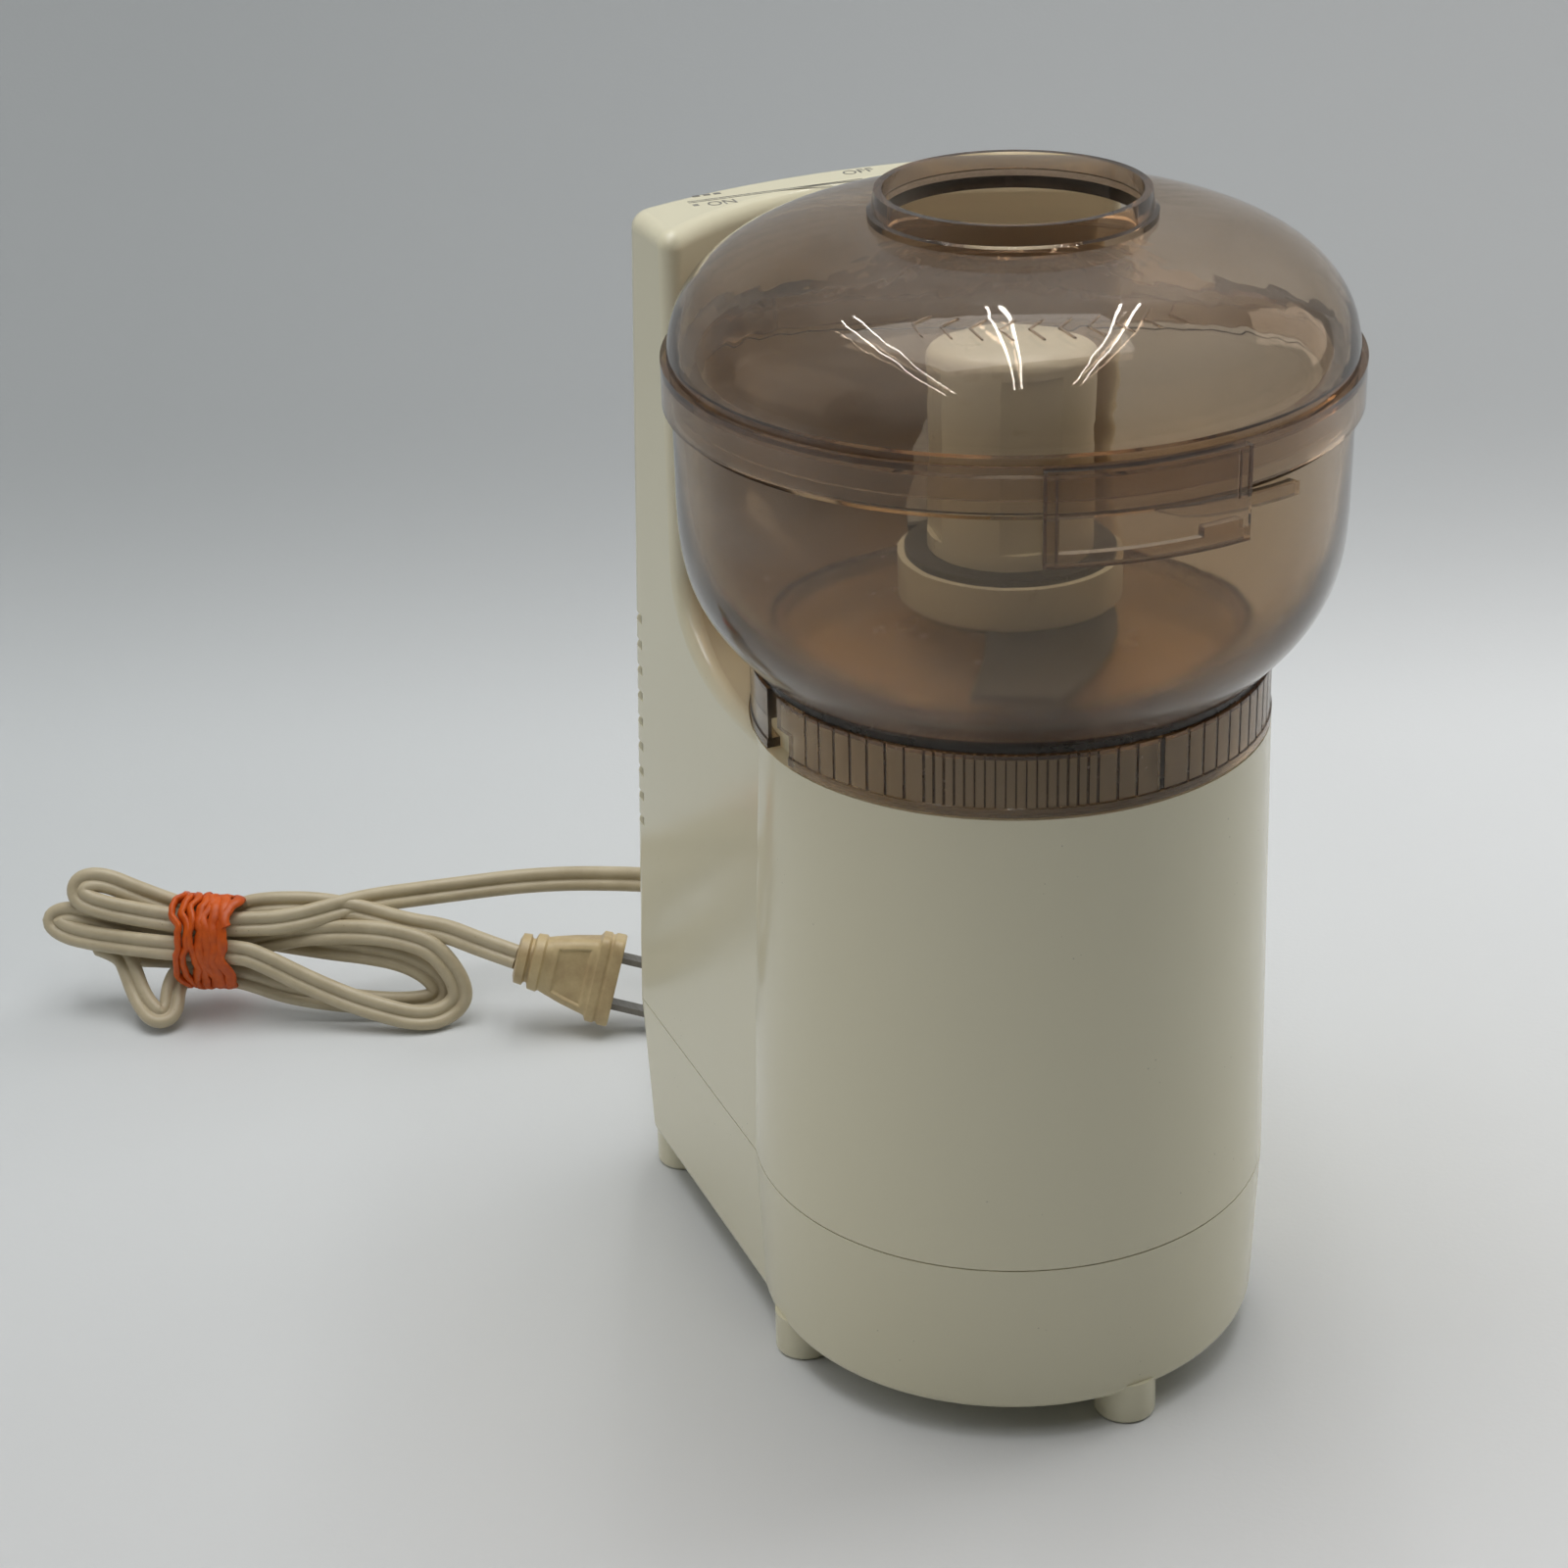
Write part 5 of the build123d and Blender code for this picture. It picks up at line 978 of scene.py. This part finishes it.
        rise = shape.maths("MULTIPLY", shape.maths("SINE", turn),
                           shape.maths("ADD", shape.size("Half Height"), lift))
        place = shape.add("ShaderNodeCombineXYZ", {0: shape.maths("ADD", along, drift), 1: across,
                                                   2: rise})
        wound = shape.add("GeometryNodeSetPosition", {"Geometry": line.outputs[0],
                                                      "Position": place.outputs[0]})
        curve = shape.add("GeometryNodeMeshToCurve", {0: wound.outputs[0]})
        ring = shape.add("GeometryNodeCurvePrimitiveCircle", {"Resolution": 10,
                                                              "Radius": shape.size("Strand")})
        flat = shape.add("GeometryNodeTransform", {0: ring.outputs[0], "Scale": (1.35, 0.8, 1.0)})
        body = shape.add("GeometryNodeCurveToMesh", {0: curve.outputs[0], 1: flat.outputs[0],
                                                     "Fill Caps": True})
        mesh = shape.mesh(body.outputs[0])
        middle = Matrix.Translation((self.tie_middle, 0.0, self.tie_height))
        mesh.transform(self.hank_place() @ middle)
        return smooth(mesh, 60.0)

    def plug_place(self) -> Matrix:
        """Frame of the plug: z towards its blades, x across its width."""
        turn, pitch, lean = (math.radians(a) for a in (self.plug_turn, self.plug_pitch, self.plug_lean))
        level = Vector((math.cos(turn), math.sin(turn), 0.0))
        aside = Vector((-level.y, level.x, 0.0))
        ahead = level * math.cos(pitch) - Vector((0, 0, math.sin(pitch)))
        above = level * math.sin(pitch) + Vector((0, 0, math.cos(pitch)))
        width = aside * math.sin(lean) + above * math.cos(lean)
        thin = ahead.cross(width)
        facing = Matrix((width, thin, ahead)).transposed().to_4x4()
        end = Vector(self.exit) + Vector(self.tail[-1]) * MM
        return Matrix.Translation(end) @ facing

    def plug_outline(self, z: float) -> tuple[float, float, float]:
        """Return the plug's half width, half thickness and squareness at a distance from the cord."""
        knots = self.plug_knots
        for (z0, *low), (z1, *high) in zip(knots, knots[1:]):
            if z <= z1:
                share = (z - z0) / (z1 - z0)
                return tuple(a + (b - a) * share for a, b in zip(low, high))
        return knots[-1][1:]

    def plug(self) -> bpy.types.Mesh:
        """Return the moulded plug, with ribs at its collar and a panel sunk in each broad face."""
        place = self.plug_place()
        rings = []
        for z in (k * self.plug_step for k in range(self.plug_rings)):
            half_width, half_thick, square = self.plug_outline(z)
            ring = []
            for k in range(self.plug_sides):
                turn = math.tau * k / self.plug_sides
                c, s = math.cos(turn), math.sin(turn)
                x = half_width * math.copysign(abs(c) ** (2 / square), c)
                y = half_thick * math.copysign(abs(s) ** (2 / square), s)
                inside = min(z - self.panel_from, self.panel_to - z,
                             half_width - self.panel_border - abs(x))
                y *= 1 - self.panel_sink * min(1.0, max(0.0, inside / self.panel_edge))
                ring.append(place @ (Vector((x, y, z)) * MM))
            rings.append(ring)
        return skin("plug_moulding", rings)

    def build(self) -> None:
        mesh, line = self.tube()
        flex = self.shop.place("cord_flex", mesh, "housing", Finishes.CORD, "beige_vinyl")
        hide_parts("cord_lead", "cord_hank", "cord_tail")
        tie = self.shop.place("rubber_tie", self.tie(), "housing", Finishes.TIE, "orange_rubber")
        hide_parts("cord_tie")
        plug = self.shop.place("plug_moulding", self.plug(), "housing", Finishes.PLUG, "ivory_vinyl")
        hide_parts("plug_body")
        self.shop.dress(Finishes.PRONG, "plug_blades")
        self.shop.dress(Finishes.RELIEF, "strain_relief")
        self.shop.dress(Finishes.CORD, "cord_lead", "cord_hank", "cord_tail")
        self.shop.dress(Finishes.TIE, "cord_tie")
        self.shop.dress(Finishes.PLUG, "plug_body")


# ---------------------------------------------------------------- housing
@dataclass
class Housing:
    """Two-part cream housing with its feet, screws and printed marks."""

    shop: Workshop
    ink_lift: float = 0.04 * MM
    word_height: float = 3.0 * MM
    words: tuple[tuple[str, float, float], ...] = (("ON", -33.5, 71.8), ("OFF", 1.8, 81.2))
    # x, y, length and width
    ink_bars: tuple[tuple[float, float, float, float], ...] = (
        (-19.8, 75.6, 40.4, 0.35), (-19.8, 74.7, 40.4, 0.35), (-36.8, 78.9, 1.6, 1.1),
        (-34.4, 78.9, 1.6, 1.1), (-32.0, 78.9, 1.6, 1.1), (-39.2, 72.6, 1.2, 1.2))
    column_from: float = 44.3
    column_to: float = 241.5
    # half width, then rear, each at the column's foot and at its top
    column_sizes: tuple[tuple[float, float], ...] = ((54.5, 53.6), (103.0, 86.8))
    corner: float = 6.5
    bow: float = 140.0
    inset: float = 2.8
    # painted shade: a dark sheet inside each back corner makes the vents read dark
    vent_shade_thickness: float = 0.5
    vent_shade_levels: tuple[int, int, int] = (92, 152, 5)
    vent_shade_side: float = 4.0
    vent_shade_inner: float = 12.0

    def word(self, text: str, middle: Vector) -> bpy.types.Mesh:
        """Return a short printed word that lies flat about its middle."""
        data = bpy.data.curves.new(text, "FONT")
        data.body = text
        data.size = self.word_height * 1.4
        data.align_x = "CENTER"
        data.align_y = "CENTER"
        data.extrude = self.ink_lift / 2
        mesh = evaluated(linked(text, data))
        mesh.transform(Matrix.Translation(middle))
        return mesh

    def marks(self) -> None:
        """Print ON and OFF on the column's top, with dots and a long double line between them."""
        axis = axis_of("spindle")
        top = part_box("upper_housing")[1].z + self.ink_lift / 2
        for text, x, y in self.words:
            mesh = self.word(text, axis + Vector((x * MM, y * MM, top)))
            self.shop.place(f"print_{text.lower()}", mesh, "housing", Finishes.INK, "cream_plastic")
        work = bmesh.new()
        for x, y, length, width in self.ink_bars:
            middle = Matrix.Translation(axis + Vector((x * MM, y * MM, top)))
            size = Matrix.Diagonal((length * MM, width * MM, self.ink_lift, 1.0))
            bmesh.ops.create_cube(work, size=1.0, matrix=middle @ size)
        mesh = bpy.data.meshes.new("print_line")
        work.to_mesh(mesh)
        work.free()
        self.shop.place("print_line", mesh, "housing", Finishes.INK, "cream_plastic")

    def vent_shade_sheet(self, side: int) -> bpy.types.Mesh:
        """Return a thin dark sheet of painted shade behind the vents in one back corner of the column.

        Args:
            side: -1 for the left corner, 1 for the right one.

        Returns:
            The sheet of painted shade as a mesh.
        """
        axis = axis_of("spindle")
        rings = []
        for z in range(*self.vent_shade_levels):
            share = (z - self.column_from) / (self.column_to - self.column_from)
            half, rear = (low + (high - low) * share for low, high in self.column_sizes)
            across = half - self.corner
            reach = math.sqrt((self.bow - self.corner) ** 2 - across ** 2)
            meet = math.atan2(across, reach)
            ring = []
            for inset, order in ((self.inset, 1), (self.inset + self.vent_shade_thickness, -1)):
                path = [(half - inset, rear - self.bow + reach - self.vent_shade_side)]
                for k in range(9):
                    turn = math.pi / 2 + (meet - math.pi / 2) * k / 8
                    path.append((across + (self.corner - inset) * math.sin(turn),
                                 rear - self.bow + reach + (self.corner - inset) * math.cos(turn)))
                edge = math.asin(self.vent_shade_inner / self.bow)
                path.append(((self.bow - inset) * math.sin(edge),
                             rear - self.bow + (self.bow - inset) * math.cos(edge)))
                ring += path[::order]
            rings.append([axis + Vector((side * x * MM, y * MM, z * MM)) for x, y in ring])
        return skin("vent_screen", rings)

    def build(self) -> None:
        """Dress the shells, put painted shade behind the vents and print the marks."""
        self.shop.dress(Finishes.CREAM, "upper_housing", "base_housing")
        self.shop.dress(Finishes.ZINC, "housing_screws")
        # painted shade behind the vents
        for side, name in ((-1, "vent_screen_left"), (1, "vent_screen_right")):
            self.shop.place(name, self.vent_shade_sheet(side), "housing", Finishes.BLACK, "black_plastic")
        self.marks()


# ---------------------------------------------------------------- works
@dataclass
class Drive:
    """Motor, gears, spindle and switch inside the housing."""

    shop: Workshop

    def build(self) -> None:
        """Dress the pieces inside the housing."""
        dress = self.shop.dress
        dress(Finishes.ZINC, "gear_plate", "gear_plate_screws", "motor_bracket_lower",
              "motor_bracket_upper", "motor_screws", "switch_screws", "spindle_clip")
        dress(Finishes.BRONZE, "spindle_bush_upper", "spindle_bush_lower", "motor_bearing_lower",
              "motor_bearing_upper")
        dress(Finishes.BRIGHT, "rotor_shaft", "pinion", "spindle", "brush_springs")
        dress(Finishes.CORE, "stator_core", "rotor_core")
        dress(Finishes.COIL, "field_coils", "rotor_windings")
        dress(Finishes.BARS, "commutator")
        dress(Finishes.NYLON, "drive_gear", "motor_spacers", "interlock_plunger")
        dress(Finishes.BLACK, "cooling_fan", "switch_body", "switch_button")
        dress(Finishes.PHENOLIC, "brush_holders")
        dress(Finishes.CARBON, "carbon_brushes")
        dress(Finishes.SEAL, "spindle_seal")


@dataclass
class Cutter:
    """Hub with its two blades."""

    shop: Workshop

    def build(self) -> None:
        """Dress the hub and blades."""
        self.shop.dress(Finishes.HUB, "blade_hub")
        self.shop.dress(Finishes.BLADE, "blade_low", "blade_high")


@dataclass
class Vessel:
    """Clear bowl and lid, with raised arrows that show which way the lid turns."""

    shop: Workshop
    arrows: int = 10
    arrow_from: float = -45.0
    arrow_to: float = 6.0
    arrow_radius: float = 54.5 * MM
    arrow_height: float = 4.6 * MM
    drop_from: float = 0.3
    arrow_length: float = 2.6 * MM
    stroke: float = 0.5 * MM
    rise: float = 0.34 * MM
    skirt_radius: float = 54.0 * MM
    bar_sink: float = 0.32 * MM
    bar_depth: float = 0.44 * MM
    bar_height: float = 11.0 * MM
    bar_middle: float = 7.5 * MM
    # painted shade: outline of the dark ring in the bowl's waist
    waist_shade_outline: tuple[tuple[float, float], ...] = (
        (52.1, 13.35), (53.3, 13.35), (53.3, 14.75), (52.1, 14.75))
    tab_line_radii: tuple[float, float] = (71.4, 72.3)
    gap_turn: float = -88.0
    # painted shade: dark lines along the tab's edges
    # first and last turn, low and high
    tab_shade_edges: tuple[tuple[float, float, float, float], ...] = (
        (-21.0, -20.5, 0.1, 18.5), (-19.3, -18.9, 0.1, 18.0), (11.4, 11.9, 8.6, 18.5),
        (9.6, 9.9, 8.6, 18.0), (-21.0, 11.9, -0.1, 0.25))
    # painted shade: dark bars in the skirt's grooves
    # first turn from the gap, pitch, count and width
    skirt_shade_rows: tuple[tuple[float, float, int, float], ...] = (
        (13.7, 4.4, 8, 0.42), (46.65, 2.15, 16, 0.3), (81.05, 4.4, 3, 0.42), (96.0, 4.4, 1, 1.0),
        (103.05, 4.4, 14, 0.42))

    def arrow_strip(self) -> bpy.types.Mesh:
        """Return a row of raised chevrons laid on the dome round the feed neck."""
        pitch = (self.arrow_to - self.arrow_from) / (self.arrows - 1)
        sizes = round_sizes(self.arrows, self.arrow_from, pitch, self.arrow_radius, self.drop_from)
        shape = Shape("lid_arrows", sizes, self.shop.finishes.get(Finishes.LID))
        chevron = self.chevron()
        source = shape.add("GeometryNodeObjectInfo", {"Object": chevron})
        copies = shape.copies_round(source.outputs["Geometry"])
        real = shape.add("GeometryNodeRealizeInstances", {0: copies})
        where = shape.add("GeometryNodeInputPosition").outputs[0]
        dome = shape.add("GeometryNodeObjectInfo", {"Object": self.shop.frame["nodes"]["lid"]})
        over = shape.add("ShaderNodeSeparateXYZ", {0: where})
        start = shape.add("ShaderNodeCombineXYZ", {0: over.outputs[0], 1: over.outputs[1],
                                                   2: shape.size("Height")})
        found = shape.add("GeometryNodeRaycast", {
            "Target Geometry": dome.outputs["Geometry"], "Source Position": start.outputs[0],
            "Ray Direction": (0.0, 0.0, -1.0), "Ray Length": 0.2}, data_type="FLOAT")
        lift = shape.maths("SUBTRACT", over.outputs[2], shape.size("Height"))
        raised = shape.add("ShaderNodeVectorMath", {0: found.outputs["Hit Normal"], 3: lift},
                           operation="SCALE").outputs[0]
        spot = shape.add("ShaderNodeVectorMath", {0: found.outputs["Hit Position"], 1: raised},
                         operation="ADD").outputs[0]
        laid = shape.add("GeometryNodeSetPosition", {"Geometry": real.outputs[0], "Position": spot})
        mesh = shape.mesh(laid.outputs[0])
        bpy.data.objects.remove(chevron)
        return smooth(mesh, 40.0)

    def chevron(self) -> bpy.types.Object:
        """Return one raised chevron, a bent bar with a rounded back, standing on z = 0."""
        half = self.arrow_height / 2
        bar = (Vector((self.arrow_length, half, 0)), Vector((0, 0, 0)),
               Vector((self.arrow_length, -half, 0)))
        rings = []
        for k in range(9):
            share = k / 8
            point = (bar[0].lerp(bar[1], share * 2) if share <= 0.5
                     else bar[1].lerp(bar[2], share * 2 - 1))
            side = Vector((self.stroke, 0, 0))
            foot, back = Vector((0, 0, -0.1 * MM)), Vector((0, 0, self.rise))
            rings.append([point - side * 0.5 + foot, point + side * 0.5 + foot,
                          point + side * 0.4 + back, point - side * 0.4 + back])
        return linked("chevron", skin("chevron", rings))

    def skirt_shade_row(self, start: float, pitch: float, count: int, width: float) -> bpy.types.Mesh:
        """Return a row of thin dark bars of painted shade that fill the grooves of the bowl's skirt.

        Args:
            start: The first bar's turn from the front, in degrees.
            pitch: Degrees from one to the next.
            count: How many there are.
            width: Width of each, in metres.

        Returns:
            The bars as one mesh.
        """
        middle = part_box("bowl")[0].z + self.bar_middle
        sizes = round_sizes(count, start, pitch, self.skirt_radius - self.bar_sink, middle)
        sizes |= {"Width": width, "Tall": self.bar_height}
        shape = Shape("skirt_bars", sizes, self.shop.finishes.get(Finishes.SHADE_SMOKE))
        size = shape.add("ShaderNodeCombineXYZ", {0: shape.size("Width"), 1: self.bar_depth,
                                                  2: shape.size("Tall")})
        bar = shape.add("GeometryNodeMeshCube", {"Size": size.outputs[0]})
        return shape.mesh(shape.copies_round(bar.outputs[0]))

    def skirt_bars(self) -> bpy.types.Mesh:
        """Return every painted-shade bar of the skirt, the same on both halves."""
        rows = [self.skirt_shade_row(gap + start, pitch, count, width * MM)
                for gap in (self.gap_turn, self.gap_turn + 180.0)
                for start, pitch, count, width in self.skirt_shade_rows]
        return joined("skirt_bars", rows)

    def waist(self) -> bpy.types.Mesh:
        """Return a dark ring of painted shade in the waist between the bowl and its skirt."""
        rings = turned(self.waist_shade_outline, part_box("bowl")[0].z, 0.0, 360.0, 144)
        return skin("waist_ring", rings, closed_ends=False)

    def tab_lines(self) -> bpy.types.Mesh:
        """Return thin dark lines of painted shade at the edges where the lid's tab meets its band."""
        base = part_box("lid")[0].z
        inner, outer = self.tab_line_radii
        parts = []
        for start, stop, low, high in self.tab_shade_edges:
            profile = ((inner, low), (outer, low), (outer, high), (inner, high))
            parts.append(skin("tab_edge", turned(profile, base, start, stop, 12)))
        return joined("tab_lines", parts)

    def build(self) -> None:
        """Dress the bowl and lid, fill the skirt's grooves and the waist with painted shade, line the
        tab's edges with painted shade and mark the lid.
        """
        self.shop.dress(Finishes.BOWL, "bowl")
        self.shop.dress(Finishes.LID, "lid")
        # painted shade in the skirt's grooves
        self.shop.place("skirt_bars", self.skirt_bars(), "bowl", Finishes.SHADE_SMOKE, "smoky_clear")
        # painted shade in the bowl's waist
        self.shop.place("waist_ring", self.waist(), "bowl", Finishes.SHADE_SMOKE, "smoky_clear")
        self.shop.place("lid_arrows", self.arrow_strip(), "lid", Finishes.MARK, "smoky_clear")
        # painted shade along the tab's edges
        self.shop.place("tab_lines", self.tab_lines(), "lid", Finishes.EDGE_SHADE, "smoky_clear")


def main() -> None:
    """Build the dressed model in order."""
    logging.basicConfig(level=logging.INFO, format="%(message)s")
    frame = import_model()
    shop = Workshop(frame)
    Studio().build()
    MainsCord(shop).build()
    Housing(shop).build()
    Drive(shop).build()
    Cutter(shop).build()
    Vessel(shop).build()


if __name__ == "__main__":
    main()
